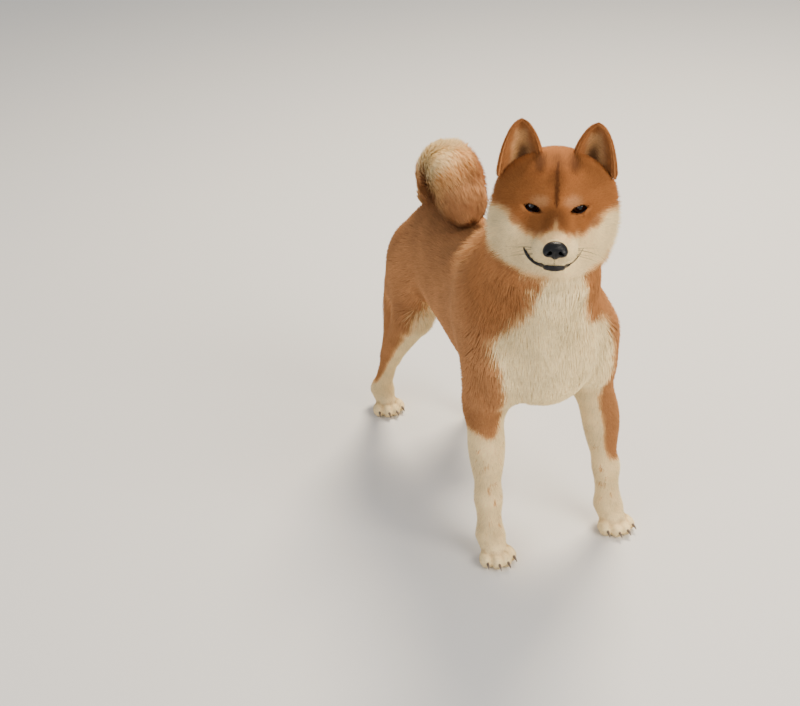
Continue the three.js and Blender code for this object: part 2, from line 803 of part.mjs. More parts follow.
// Tail, in four lengths

const tailShape = merge(
  10,
  ...tailLine.slice(1).map(({ at, radius }, k) => (
    limb(tailLine[k].at, tailLine[k].radius * tailCore, at, radius * tailCore)
  )),
);
const tailCurve = new THREE.CatmullRomCurve3(tailLine.map(({ at }) => new THREE.Vector3(...at)));
const tailLength = tailCurve.getLength();

// A point of the tail's coat: how far along the tail, how far round it, and its share of the coat's depth
function tailPoint(distance, turn, depth) {
  const share = Math.min(distance / tailLength, 1);
  const past = Math.max(distance - tailLength, 0);
  const along = tailCurve.getTangentAt(share);
  const across = new THREE.Vector3(1, 0, 0).addScaledVector(along, -along.x).normalize();
  const over = new THREE.Vector3().crossVectors(across, along);
  const slot = tailCurve.getUtoTmapping(share) * (tailLine.length - 1);
  const first = Math.min(Math.floor(slot), tailLine.length - 2);
  const full = THREE.MathUtils.lerp(tailLine[first].radius, tailLine[first + 1].radius, slot - first);
  const round = Math.sqrt(Math.max(1 - (past / full) ** 2, 0.02));
  const out = across.clone().multiplyScalar(Math.cos(turn)).addScaledVector(over, Math.sin(turn));
  const away = full * round * depth;
  const at = tailCurve.getPointAt(share).addScaledVector(along, past).addScaledVector(out, away);
  return { at, out, side: new THREE.Vector3().crossVectors(along, out), away };
}

// Locks in rings round the tail, each over the roots of the next, out to the coat's own outline
function tailLock(start, turn) {
  const rows = 3;
  const depths = [0.4, 0.74, 0.9, 1];
  const swell = [0.9, 1, 0.85, 0];
  const { around, length, overlap, thickness } = tailLocks;
  const reach = Math.min(length * (1 + 0.1 * draw()), tailLength + tailRingSpan.past - start);
  const lock = new THREE.ConeGeometry(1, 1, 4, rows);
  const place = lock.attributes.position;
  for (let v = 0; v < place.count; v += 1) {
    const t = place.getY(v) + 0.5;
    const row = Math.round(t * rows);
    const spread = Math.max(1 - t, 1e-6);
    const { at, out, side, away } = tailPoint(start + reach * t, turn + 0.1 * t, depths[row]);
    const width = 2 * Math.PI * away / around * overlap * swell[row];
    at.addScaledVector(side, place.getX(v) / spread * width / 2);
    at.addScaledVector(out, (place.getZ(v) / spread - 1) * swell[row] * thickness / 2);
    place.setXYZ(v, ...at.toArray());
  }
  return lock;
}

const tailLockSolids = [];
const ringRange = tailLength - tailRingSpan.first - tailRingSpan.last;
for (let ring = 0; ring < tailLocks.rings; ring += 1) {
  const start = tailRingSpan.first + ringRange * ring / (tailLocks.rings - 1);
  for (let k = 0; k < tailLocks.around; k += 1) {
    const turn = 2 * Math.PI * (k + 0.5 * (ring % 2)) / tailLocks.around;
    tailLockSolids.push(solidOf(tailLock(start, turn)));
  }
}
const tailCuts = [2, 3, 4].map((k) => ({
  at: tailLine[k].at,
  way: tailLine[k + 1].at.map((value, n) => value - tailLine[k - 1].at[n]),
}));
const tailSolid = withLocks(facets(tailShape, [-60, -10, 290], [70, 250, 500], tailStep), tailLockSolids)
  .subtract(trunkSolid)
  .translate([0, 0, seam + 0.1]);
const tailStages = [
  ['tail_root', before(tailCuts[0])],
  ['tail_rise', beyond(tailCuts[0]), before(tailCuts[1])],
  ['tail_crest', beyond(tailCuts[1]), before(tailCuts[2])],
  ['tail_tip', beyond(tailCuts[2])],
];
for (const [name, ...spaces] of tailStages) {
  addNode(name, kept(tailSolid, ...spaces), furPale);
}

// The origin is under the middle of the whole, on the floor
const extent = new THREE.Box3().setFromObject(parts);
parts.position.set(-(extent.min.x + extent.max.x) / 2, -(extent.min.y + extent.max.y) / 2, 0);

export default parts;
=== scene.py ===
import bpy
import math
import numpy as np
from mathutils import Matrix, Vector


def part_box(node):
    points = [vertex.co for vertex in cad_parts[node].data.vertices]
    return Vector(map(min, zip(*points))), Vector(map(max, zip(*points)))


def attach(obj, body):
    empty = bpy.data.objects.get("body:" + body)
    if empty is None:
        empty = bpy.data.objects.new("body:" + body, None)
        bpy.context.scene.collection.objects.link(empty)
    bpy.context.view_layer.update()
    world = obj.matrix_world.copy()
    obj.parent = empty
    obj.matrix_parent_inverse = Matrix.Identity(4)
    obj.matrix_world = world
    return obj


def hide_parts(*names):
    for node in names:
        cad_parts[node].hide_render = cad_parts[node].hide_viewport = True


# A standing shiba inu with a red and cream coat. Shapes are in millimetres in the dog's own frame,
# +X the dog's left, -Y forwards, +Z up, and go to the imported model's metres by one shift.
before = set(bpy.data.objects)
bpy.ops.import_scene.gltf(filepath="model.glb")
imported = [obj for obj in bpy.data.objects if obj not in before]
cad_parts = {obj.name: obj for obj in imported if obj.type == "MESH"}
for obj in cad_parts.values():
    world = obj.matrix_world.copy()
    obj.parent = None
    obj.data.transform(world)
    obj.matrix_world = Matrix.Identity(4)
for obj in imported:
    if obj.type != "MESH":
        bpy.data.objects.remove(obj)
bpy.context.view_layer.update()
rng = np.random.default_rng(417)


def unit(v):
    return v / np.maximum(np.linalg.norm(v, axis=-1, keepdims=True), 1e-9)


def smooth(low, high, value):
    t = np.clip((value - low) / (high - low), 0, 1)
    return t * t * (3 - 2 * t)


def blendTo(a, b, t):
    return a + (b - a) * t


def grain(points, size, seed):
    # soft random field between -1 and 1, with features about size mm across
    q = points / size
    cell = np.floor(q).astype(np.int64)
    part = q - cell
    part = part * part * (3 - 2 * part)
    total = np.zeros(len(points))
    for corner in range(8):
        step = np.array([corner & 1, (corner >> 1) & 1, (corner >> 2) & 1])
        n = cell + step
        mixed = (n[:, 0] * 73856093) ^ (n[:, 1] * 19349663) ^ (n[:, 2] * 83492791) ^ (seed * 2654435761)
        mixed = (mixed ^ (mixed >> 13)) * 1274126177
        value = ((mixed ^ (mixed >> 16)) & 0xFFFF) / 32767.5 - 1
        total += value * np.prod(np.where(step, part, 1 - part), axis=1)
    return total


# Smooth shapes: functions of points, below zero inside
def lump(centre, size):
    centre, size = np.array(centre, float), np.array(size, float)

    def shape(p):
        q = (p - centre) / size
        near = np.sqrt((q * q).sum(-1))
        slope = np.sqrt(((q / size) ** 2).sum(-1))
        return np.where(slope < 1e-9, -size.min(), near * (near - 1) / np.maximum(slope, 1e-9))
    return shape


def nearest(start, end, p):
    # share of the way from start to end at the place nearest to each point, and the distance to it
    step, away = end - start, p - start
    t = np.clip(away @ step / (step @ step), 0, 1)
    return t, np.linalg.norm(away - t[:, None] * step, axis=1)


def limb(start, end, startRadius, endRadius):
    start, end = np.array(start, float), np.array(end, float)

    def shape(p):
        t, away = nearest(start, end, p)
        return away - blendTo(startRadius, endRadius, t)
    return shape


def merged(softness, values):
    out = values[0]
    for other in values[1:]:
        mix = np.maximum(softness - np.abs(out - other), 0) / softness
        out = np.minimum(out, other) - mix * mix * softness * 0.25
    return out


def merge(softness, *shapes):
    return lambda p: merged(softness, [shape(p) for shape in shapes])


def bothSides(centre, size):
    return [lump([centre[0] * side, *centre[1:]], size) for side in (1, -1)]


# Trunk, neck and legs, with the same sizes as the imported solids
trunkSizes = {
    # centre and half sizes of each lump
    "trunk": {
        "chest": [[6, -70, 291.5], [76, 145, 94.5]], "withers": [[3, -105, 328], [56, 86, 62]],
        "loin": [[5, 75, 316], [60, 120, 58]], "belly": [[5, 40, 284], [57, 118, 47]],
        "rump": [[9, 138, 312], [45, 50, 54]], "forechest": [[8, -170, 290], [58, 48, 68]],
    },
    "shoulders": [[[76, -140, 280], [27, 50, 66]], [[-55, -138, 298], [28, 52, 72]]],
    # two ends and their radii
    "neck": [[[3, -112, 326], [2, -182, 440], 82, 64], [[6, -172, 330], [-4, -205, 412], 60, 54]],
    "soft": {"trunk": 34, "neck": 30, "body": 26},
}
trunk = merge(trunkSizes["soft"]["trunk"], *[lump(*sizes) for sizes in trunkSizes["trunk"].values()])
shoulders = [lump(*sizes) for sizes in trunkSizes["shoulders"]]
neck = merge(trunkSizes["soft"]["neck"], *[limb(*sizes) for sizes in trunkSizes["neck"]])
foreLegs = {
    "left": {"shoulder": [74, -150, 290], "elbow": [86, -136, 208], "forearm": [99, -143, 154],
             "wrist": [100, -150, 85], "paw": [101, -158, 0]},
    "right": {"shoulder": [-54, -150, 290], "elbow": [-61, -132, 208], "forearm": [-64, -142, 156],
              "wrist": [-67, -148, 85], "paw": [-67, -153, 0]},
}
hindLegs = {
    "left": {"hip": [46, 150, 286], "knee": [62, 104, 212], "hock": [66, 185, 100], "paw": [69, 172, 0]},
    "right": {"hip": [-32, 150, 286], "knee": [-49, 124, 221], "hock": [-48, 228, 107], "paw": [-49, 270, 0]},
}
legSizes = {
    # radii at the two ends of each part, and half sizes of the forearm's muscle and of the thigh; the places
    # ending in At are counted from the hip, the hock or the paw, +X outwards
    "fore": {"upper": [36, 26], "lower": [24, 16], "muscle": [21, 23, 46], "pastern": [16.5, 16],
             "foot": [16, 17], "soft": 12},
    "hind": {"thighAt": [8, 8, -26], "thigh": [29, 52, 72], "upper": [38, 27], "shank": [28, 14],
             "breechAt": [10, 30, -48], "tendonAt": [0, -4, 22], "breech": [26, 13], "heelAt": [0, 3, 0],
             "pastern": [13.5, 13.5], "foot": [15, 15], "soft": 14},
    "pasternHeight": 32, "footAt": [0, -8, 15],
}


def foreLeg(leg):
    sizes, wrist, paw = legSizes["fore"], leg["wrist"], leg["paw"]
    pastern = [(paw[0] + wrist[0]) / 2, paw[1] + 4, legSizes["pasternHeight"]]
    return merge(
        sizes["soft"],
        limb(leg["shoulder"], leg["elbow"], *sizes["upper"]),
        limb(leg["elbow"], wrist, *sizes["lower"]),
        lump(leg["forearm"], sizes["muscle"]),
        limb(wrist, pastern, *sizes["pastern"]),
        limb(pastern, np.add(paw, legSizes["footAt"]), *sizes["foot"]),
    )


def hindLeg(leg):
    sizes, hip, hock, paw = legSizes["hind"], np.array(leg["hip"]), np.array(leg["hock"]), leg["paw"]
    outwards = np.array([np.sign(hip[0]), 1, 1])
    pastern = [paw[0], paw[1] + 6, legSizes["pasternHeight"]]
    return merge(
        sizes["soft"],
        lump(hip + outwards * sizes["thighAt"], sizes["thigh"]),
        limb(hip, leg["knee"], *sizes["upper"]),
        limb(leg["knee"], hock, *sizes["shank"]),
        limb(hip + outwards * sizes["breechAt"], hock + sizes["tendonAt"], *sizes["breech"]),
        limb(hock + sizes["heelAt"], pastern, *sizes["pastern"]),
        limb(pastern, np.add(paw, legSizes["footAt"]), *sizes["foot"]),
    )


legShapes = [foreLeg(leg) for leg in foreLegs.values()] + [hindLeg(leg) for leg in hindLegs.values()]
body = merge(trunkSizes["soft"]["body"], trunk, *shoulders, *legShapes, neck)

# Head: its own frame is centred between the eyes
headPose = {"place": [-10.3, -230.9, 495.8], "yaw": -26.5, "pitch": -3.4, "roll": 3.2}
headTurn = np.array(
    Matrix.Rotation(math.radians(headPose["yaw"]), 3, "Z")
    @ Matrix.Rotation(math.radians(headPose["pitch"]), 3, "X")
    @ Matrix.Rotation(math.radians(headPose["roll"]), 3, "Y")
)
headPlace = np.array(headPose["place"])
eyeAt = np.array([26.5, 9.0, 0.0])
eyeRadius = 10.0


def toHead(p):
    return (p - headPlace) @ headTurn


def fromHead(h):
    return np.asarray(h, float) @ headTurn.T + headPlace


headSoft = {"skull": 16, "muzzle": 10, "head": 14, "neck": 24}
skull = merge(
    headSoft["skull"],
    lump([0, 38, 14], [54, 56, 44]),                      # dome
    lump([0, 14, 16], [42, 28, 28]),                      # forehead
    *bothSides([34, 38, 8], [35, 38, 34]),                # temples
    *bothSides([40, 34, -24], [32, 44, 40]),              # cheeks
    *bothSides([22, 3, 13], [16, 9, 8]),                  # brows
)
muzzle = merge(
    headSoft["muzzle"],
    limb([0, 0, -20], [0, -47, -25], 30, 16.5),           # bridge
    *bothSides([12, -42, -32], [14, 19, 12]),             # upper lips
    limb([0, 2, -46], [0, -45, -47], 22, 11.5),           # lower jaw
)
headLocal = merge(headSoft["head"], skull, muzzle)


def fleshOut(p):
    # the whole dog out to its coat's tips, without tail, ears and toes
    return merged(headSoft["neck"], [body(p), headLocal(toHead(p))])


# Tail: centre line, radius out to the coat's tips, and the core within
tailSizes = {
    "line": [[10, 158, 350], [8, 151, 388], [5, 132, 418], [2, 102, 430], [0, 68, 418], [-2, 46, 402]],
    "radii": [26, 30, 35, 41, 41, 32],
    "core": 0.5, "soft": 10,
}
tailLine, tailRadii = np.array(tailSizes["line"], float), np.array(tailSizes["radii"], float)
coreRadii = tailRadii * tailSizes["core"]
tailCore = merge(tailSizes["soft"], *[
    limb(tailLine[k], tailLine[k + 1], coreRadii[k], coreRadii[k + 1]) for k in range(len(tailLine) - 1)
])


def alongTail(p):
    # nearest place of the tail's centre line: the place, its share from root to end, direction and radius
    best = np.full(len(p), 1e9)
    share, radius = np.zeros(len(p)), np.zeros(len(p))
    way, centre = np.zeros_like(p), np.zeros_like(p)
    lengths = np.linalg.norm(np.diff(tailLine, axis=0), axis=1)
    done = np.concatenate([[0], np.cumsum(lengths)]) / lengths.sum()
    for k in range(len(lengths)):
        t, away = nearest(tailLine[k], tailLine[k + 1], p)
        near = away < best
        best[near], share[near] = away[near], blendTo(done[k], done[k + 1], t[near])
        radius[near] = blendTo(tailRadii[k], tailRadii[k + 1], t[near])
        centre[near] = blendTo(tailLine[k], tailLine[k + 1], t[near, None])
        before, after = tailLine[max(k - 1, 0)], tailLine[min(k + 2, len(lengths))]
        way[near] = blendTo(unit(tailLine[k + 1] - before), unit(after - tailLine[k]), t[near, None])
    return {"share": share, "radius": radius, "way": unit(way), "centre": centre}


# Regions of the body, each a weight between 0 and 1
regionSizes = {
    # planes by a place and a direction: the head's back and underside in its own frame, and across the neck
    "headBack": [[0, 66, 0], [0, -0.95, 0.31]], "headUnder": [[0, 0, -71], [0, -0.12, 0.99]],
    "neckPlane": [[0, -150, 350], [0, -0.5, 0.86]],
    # from where to where each one fades in, mm
    "head": [-14, 10], "neck": [-34, 26],
    "forearm": {"middle": 13, "aside": [24, 44], "y": [-60, -100], "z": [268, 208]},
    "legs": [246, 150], "feet": [40, 26], "breech": {"y": [160, 195], "low": [175, 235], "top": [335, 290]},
    "face": [22, -6], "cheek": {"x": [26, 44], "y": [-6, 16], "z": [22, -4]},
}


def pastPlane(name, p):
    place, direction = regionSizes[name]
    return (p - place) @ unit(np.array(direction))


def regions(p):
    h, sizes = toHead(p), regionSizes
    arm, breech, cheek = sizes["forearm"], sizes["breech"], sizes["cheek"]
    head = smooth(*sizes["head"], np.minimum(pastPlane("headBack", h), pastPlane("headUnder", h)))
    armShare = (smooth(*arm["z"], p[:, 2]) * smooth(*arm["aside"], np.abs(p[:, 0] - arm["middle"]))
                * smooth(*arm["y"], p[:, 1]))
    return {
        "h": h, "head": head, "neck": smooth(*sizes["neck"], pastPlane("neckPlane", p)) * (1 - head),
        "legs": np.maximum(armShare, smooth(*sizes["legs"], p[:, 2])), "feet": smooth(*sizes["feet"], p[:, 2]),
        "breech": (smooth(*breech["y"], p[:, 1]) * smooth(*breech["low"], p[:, 2])
                   * smooth(*breech["top"], p[:, 2])),
        "face": head * smooth(*sizes["face"], h[:, 1]),
        "cheek": (head * smooth(*cheek["x"], np.abs(h[:, 0])) * smooth(*cheek["z"], h[:, 2])
                  * smooth(*cheek["y"], h[:, 1])),
    }


coatDepths = {"trunk": 7.5, "neck": 11, "legs": 2.6, "feet": 1.2, "breech": 9, "head": 4.2, "face": 1.8,
              "cheek": 7}


def coatDepth(p, where=None):
    where = where or regions(p)
    depth = np.full(len(p), float(coatDepths["trunk"]))
    for name in ("neck", "breech", "legs", "feet", "head", "face", "cheek"):
        depth = blendTo(depth, coatDepths[name], where[name])
    return depth


# Toes and pads: the pad and four toes of each paw, in a fan
toeSizes = {"spread": 10.5, "reach": [16, 25, 25, 16], "size": [7.6, 13.2, 9.0], "height": 8.2, "fan": 0.13,
            "outward": 0.05, "padAt": [0, -6, 7.5], "pad": [16, 14, 10]}
paws = [(leg["paw"], 1 if side == "left" else -1)
        for legs in (foreLegs, hindLegs) for side, leg in legs.items()]


def toePlaces(paw, outward):
    for toe in range(4):
        place = toe - 1.5
        centre = [paw[0] + place * toeSizes["spread"], paw[1] - toeSizes["reach"][toe], toeSizes["height"]]
        yield np.array(centre), place * toeSizes["fan"] + outward * toeSizes["outward"]


def toeShape(centre, turn):
    turned = lump([0, 0, 0], toeSizes["size"])
    cos, sin = math.cos(turn), math.sin(turn)
    back = np.array([[cos, sin, 0], [-sin, cos, 0], [0, 0, 1]])
    return lambda p: turned((p - centre) @ back.T)


toes = [toeShape(*place) for paw, outward in paws for place in toePlaces(paw, outward)]
pads = [lump(np.add(paw, toeSizes["padAt"]), toeSizes["pad"]) for paw, _ in paws]

# Lids: a shallow bulge over each eye, open between them in an almond that slants up to the ear
lidSizes = {"radius": 12.3, "width": 23.4, "height": 5.9, "slant": math.radians(22), "lean": 0.15, "turn": -0.1,
            "power": 2.2, "rimSlope": 0.9, "cut": 3}


def lidFrame(side):
    # columns: along the opening, forwards out of it, and across it
    turn = (
        Matrix.Rotation(lidSizes["turn"] * side, 3, "Z")
        @ Matrix.Rotation(-lidSizes["lean"], 3, "X")
        @ Matrix.Rotation(-lidSizes["slant"] * side, 3, "Y")
    )
    return np.array(turn)


def eyeCentre(side):
    return eyeAt * [side, 1, 1]


def almond(u):
    # half height of the opening at u mm along it
    half = lidSizes["width"] / 2
    return lidSizes["height"] * (1 - np.clip(np.abs(u) / half, 0, 1) ** lidSizes["power"])


def lidBulges(h):
    return [np.linalg.norm(h - eyeCentre(side), axis=1) - lidSizes["radius"] for side in (1, -1)]


def lidWells(h):
    found = []
    for side in (1, -1):
        q = (h - eyeCentre(side)) @ lidFrame(side)
        across = np.abs(q[:, 2]) - almond(q[:, 0]) + np.maximum(np.abs(q[:, 0]) - lidSizes["width"] / 2, 0)
        found.append(np.maximum(across * lidSizes["rimSlope"], q[:, 1] + lidSizes["cut"]))
    return found


# The line of the mouth, on the muzzle's surface, from one corner to the other
mouthSizes = {
    "half": [[34, -15, -42], [31.5, -17, -47], [27, -20, -52.5], [21, -25.5, -56], [16.5, -31, -56],
             [12.5, -42.5, -52.2], [8.5, -53.5, -48.5], [2, -57, -47.6]],
    "groove": 1.5,
}


def snapTo(shape, points, rounds=5):
    at = np.array(points, float)
    for _ in range(rounds):
        value, slope = shape(at), slopeOf(shape, at)
        at = at - slope * (value / np.maximum((slope ** 2).sum(1), 0.05))[:, None]
    return at


def slopeOf(shape, p, h=0.5):
    return np.stack([(shape(p + step) - shape(p - step)) / (2 * h) for step in np.eye(3) * h], axis=1)


def roundCurve(points, count):
    # a smooth curve through the points, at even steps
    points = np.array(points, float)
    ends = np.vstack([2 * points[0] - points[1], points, 2 * points[-1] - points[-2]])
    found = []
    for k in range(len(points) - 1):
        a, b, c, d = ends[k:k + 4]
        t = np.linspace(0, 1, 24, endpoint=k == len(points) - 2)[:, None]
        cubic = (3 * b - a - 3 * c + d) * t ** 3
        found.append(0.5 * (2 * b + (c - a) * t + (2 * a - 5 * b + 4 * c - d) * t ** 2 + cubic))
    line = np.vstack(found)
    steps = np.concatenate([[0], np.cumsum(np.linalg.norm(np.diff(line, axis=0), axis=1))])
    wanted = np.linspace(0, steps[-1], count)
    return np.stack([np.interp(wanted, steps, line[:, k]) for k in range(3)], axis=1)


def headSkin(h):
    p = fromHead(h)
    return fleshOut(p) + coatDepth(p)


mouthPoints = [[-x, y, z] for x, y, z in mouthSizes["half"]] + mouthSizes["half"][::-1]
mouthLine = snapTo(headSkin, roundCurve(mouthPoints, 60))


def awayFrom(line, p):
    return np.minimum.reduce([nearest(a, b, p)[1] for a, b in zip(line[:-1], line[1:])])


skinSizes = {"tailSoft": 8, "toeSoft": 2.5, "lidSoft": 5, "toesBelow": 46, "faceBefore": 30,
             "mouthBelow": -25, "mouthBefore": -8}


def skinField(p):
    # the skin under the coat: inside the solids by the coat's depth
    where = regions(p)
    value = fleshOut(p) + coatDepth(p, where)
    value = merged(skinSizes["tailSoft"], [value, tailCore(p)])
    low = p[:, 2] < skinSizes["toesBelow"]
    if low.any():
        feet = p[low]
        foot = merged(skinSizes["toeSoft"], [value[low]] + [part(feet) for part in pads + toes])
        value[low] = np.maximum(foot, -feet[:, 2])
    face = (where["face"] > 0) & (where["h"][:, 1] < skinSizes["faceBefore"])
    if face.any():
        h = where["h"][face]
        lids = merged(skinSizes["lidSoft"], [value[face]] + lidBulges(h))
        for well in lidWells(h):
            lids = np.maximum(lids, -well)
        near = (h[:, 2] < skinSizes["mouthBelow"]) & (h[:, 1] < skinSizes["mouthBefore"])
        lids[near] = np.maximum(lids[near], mouthSizes["groove"] - awayFrom(mouthLine[::3], h[near]))
        value[face] = lids
    return value


# Surface of a smooth shape in a box, one vertex to each crossed cell, worked out only near the surface
def surfaceOf(shape, low, high, step, keep=None):
    stride, farOff, atOnce = 5, 50.0, 200000
    counts = [int(math.ceil((b - a) / (step * stride))) * stride + 1 for a, b in zip(low, high)]
    axes = [a + step * np.arange(n) for a, n in zip(low, counts)]
    coarse = np.stack(np.meshgrid(*[axis[::stride] for axis in axes], indexing="ij"), -1)
    rough = shape(coarse.reshape(-1, 3)).reshape(coarse.shape[:3])
    spread = np.repeat(np.repeat(np.repeat(rough, stride, 0), stride, 1), stride, 2)
    offset = stride // 2
    spread = spread[offset:offset + counts[0], offset:offset + counts[1], offset:offset + counts[2]]
    near = np.abs(spread) < step * stride * 1.7
    index = np.nonzero(near)
    points = np.stack([axes[k][index[k]] for k in range(3)], axis=1)
    values = np.where(spread > 0, farOff, -farOff)
    shares = np.array_split(points, max(1, len(points) // atOnce))
    values[index] = np.concatenate([shape(part) for part in shares])
    inside = values < 0
    corners = np.array([[c & 1, (c >> 1) & 1, (c >> 2) & 1] for c in range(8)])
    boxes = [inside[a:counts[0] - 1 + a, b:counts[1] - 1 + b, c:counts[2] - 1 + c] for a, b, c in corners]
    filled = np.sum(boxes, axis=0)
    cells = np.stack(np.nonzero((filled > 0) & (filled < 8)), axis=1)
    v = np.stack([values[tuple((cells + corner).T)] for corner in corners], axis=1)
    total, crossings = np.zeros((len(cells), 3)), np.zeros(len(cells))
    for a in range(8):
        for bit in (1, 2, 4):
            if a & bit:
                continue
            b = a | bit
            crossed = (v[:, a] < 0) != (v[:, b] < 0)
            t = v[crossed, a] / (v[crossed, a] - v[crossed, b])
            total[crossed] += corners[a] + (corners[b] - corners[a]) * t[:, None]
            crossings[crossed] += 1
    start = np.array(low) + cells * step
    at = start + step * total / crossings[:, None]
    for _ in range(2):
        slope = slopeOf(shape, at)
        moved = at - slope * (shape(at) / np.maximum((slope ** 2).sum(1), 0.1))[:, None]
        at = np.clip(moved, start - 0.1 * step, start + 1.1 * step)
    number = np.full(inside.shape, -1, np.int64)
    number[tuple(cells.T)] = np.arange(len(cells))
    quads = []
    for k in range(3):
        u, w = (k + 1) % 3, (k + 2) % 3
        first = np.take(inside, range(counts[k] - 1), axis=k)
        second = np.take(inside, range(1, counts[k]), axis=k)
        edges = np.stack(np.nonzero(first != second), axis=1)
        edges = edges[(edges[:, u] > 0) & (edges[:, w] > 0)
                      & (edges[:, u] < counts[u] - 1) & (edges[:, w] < counts[w] - 1)]
        outward = inside[tuple(edges.T)]
        ring = []
        for du, dw in ((-1, -1), (0, -1), (0, 0), (-1, 0)):
            cell = edges.copy()
            cell[:, u] += du
            cell[:, w] += dw
            ring.append(number[tuple(cell.T)])
        ring = np.stack(ring, axis=1)
        ring[~outward] = ring[~outward][:, ::-1]
        quads.append(ring)
    quads = np.concatenate(quads)
    if keep is not None:
        quads = quads[keep(at[quads].mean(1))]
        used = np.unique(quads)
        renumber = np.full(len(at), -1, np.int64)
        renumber[used] = np.arange(len(used))
        at, quads = at[used], renumber[quads]
    return at, quads


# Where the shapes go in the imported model
lowEye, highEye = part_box("eye_left")
shift = np.array((lowEye + highEye) / 2) * 1000 - fromHead(eyeCentre(1))
print("shift to the packed model, mm:", np.round(shift, 3))


def toScene(p):
    return (np.asarray(p, float) + shift) / 1000


def makeMesh(name, points, faces, masks=None):
    # points in mm, faces as rows of one length, masks as one float attribute each
    mesh = bpy.data.meshes.new(name)
    size = faces.shape[1]
    mesh.vertices.add(len(points))
    mesh.vertices.foreach_set("co", toScene(points).astype(np.float32).ravel())
    mesh.loops.add(faces.size)
    mesh.loops.foreach_set("vertex_index", faces.astype(np.int32).ravel())
    mesh.polygons.add(len(faces))
    mesh.polygons.foreach_set("loop_start", np.arange(len(faces), dtype=np.int32) * size)
    mesh.update(calc_edges=True)
    mesh.polygons.foreach_set("use_smooth", np.ones(len(faces), bool))
    for key, values in (masks or {}).items():
        layer = mesh.attributes.new(key, "FLOAT", "POINT")
        layer.data.foreach_set("value", np.asarray(values, np.float32))
    made = bpy.data.objects.new(name, mesh)
    bpy.context.scene.collection.objects.link(made)
    return made


def finishPiece(piece, material, nodes=()):
    piece.data.materials.append(material)
    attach(piece, "root")
    if nodes:
        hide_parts(*nodes)


# Camera at the photograph's place
cameraSizes = {"place": [-713.64, -1609.28, 1127.88], "azimuth": -20.29, "elevation": 27.48, "roll": -3.69,
               "focal": 1500 / 800 * 36}
azimuth, elevation, roll = (math.radians(cameraSizes[key]) for key in ("azimuth", "elevation", "roll"))
backWay = np.array([math.sin(azimuth) * math.cos(elevation), -math.cos(azimuth) * math.cos(elevation),
                    math.sin(elevation)])
flatRight = np.array([math.cos(azimuth), math.sin(azimuth), 0])
flatUp = np.cross(backWay, flatRight)
rightWay = flatRight * math.cos(roll) + flatUp * math.sin(roll)
upWay = flatUp * math.cos(roll) - flatRight * math.sin(roll)
cameraData = bpy.data.cameras.new("camera")
cameraData.sensor_width = 36
cameraData.lens = cameraSizes["focal"]
camera = bpy.data.objects.new("camera", cameraData)
turnAndPlace = Matrix.Identity(4)
cameraPlace = toScene(cameraSizes["place"])
for row in range(3):
    for column, axis in enumerate((rightWay, upWay, backWay, cameraPlace)):
        turnAndPlace[row][column] = axis[row]
camera.matrix_world = turnAndPlace
bpy.context.scene.collection.objects.link(camera)
bpy.context.scene.camera = camera
print("camera set")


# Colours: sRGB hex to linear
def colour(hexCode):
    parts = [int(hexCode[k:k + 2], 16) / 255 for k in (1, 3, 5)]
    return [*[c / 12.92 if c <= 0.04045 else ((c + 0.055) / 1.055) ** 2.4 for c in parts], 1]


def addNode(tree, kind, settings=None, inputs=None, links=None):
    # one node with its settings, input values and incoming links
    node = tree.nodes.new(kind)
    for key, value in (settings or {}).items():
        setattr(node, key, value)
    for key, value in (inputs or {}).items():
        node.inputs[key].default_value = value
    for key, source in (links or {}).items():
        tree.links.new(source, node.inputs[key])
    return node


def newMaterial(name):
    material = bpy.data.materials.new(name)
    material.use_nodes = True
    material.node_tree.nodes.clear()
    return material, material.node_tree


def mixColours(tree, factor, first, second, blend="MIX"):
    node = addNode(tree, "ShaderNodeMix", {"data_type": "RGBA", "blend_type": blend})
    for socket, value in ((node.inputs[0], factor), (node.inputs[6], first), (node.inputs[7], second)):
        if isinstance(value, bpy.types.NodeSocket):
            tree.links.new(value, socket)
        else:
            socket.default_value = value
    return node.outputs[2]


def finishMaterial(tree, base, settings, bump=None):
    shader = addNode(tree, "ShaderNodeBsdfPrincipled", inputs=settings)
    if isinstance(base, bpy.types.NodeSocket):
        tree.links.new(base, shader.inputs["Base Color"])
    else:
        shader.inputs["Base Color"].default_value = base
    if bump is not None:
        tree.links.new(bump, shader.inputs["Normal"])
    addNode(tree, "ShaderNodeOutputMaterial", links={"Surface": shader.outputs[0]})


def rampOf(tree, factor, stops):
    ramp = addNode(tree, "ShaderNodeValToRGB", links={"Fac": factor})
    while len(ramp.color_ramp.elements) < len(stops):
        ramp.color_ramp.elements.new(0.5)
    for element, (position, hexCode) in zip(ramp.color_ramp.elements, stops):
        element.position = position
        element.color = colour(hexCode)
    return ramp.outputs["Color"]


def attributeOf(tree, name):
    return addNode(tree, "ShaderNodeAttribute", {"attribute_name": name}).outputs["Fac"]


def noiseOf(tree, sizeMm, detail):
    place = addNode(tree, "ShaderNodeTexCoord").outputs["Object"]
    return addNode(tree, "ShaderNodeTexNoise", inputs={"Scale": 1000 / sizeMm, "Detail": detail},
                   links={"Vector": place}).outputs["Fac"]


coatColours = {
    # share of red, colour at the tip, colour at the root
    "hairs": [[0.0, "#ffe8b2", "#f8d8a2"], [0.36, "#f0c080", "#d8a468"], [0.8, "#c28858", "#a06d42"],
              [1.0, "#b0703d", "#875229"]],
    # one dark colour serves both the darker hairs and the painted shade
    "darkHairAndShade": "#371a0d", "bare": "#7c563f", "sheenHex": "#e2a564", "strandMm": 2.7, "patchMm": 30,
    # lowest and highest value of each pattern, and the brightness at the two
    "tone": [-1, 1, 0.82, 1.12], "strands": [0.2, 0.8, 0.88, 1.1], "patches": [0.3, 0.7, 0.9, 1.08],
}


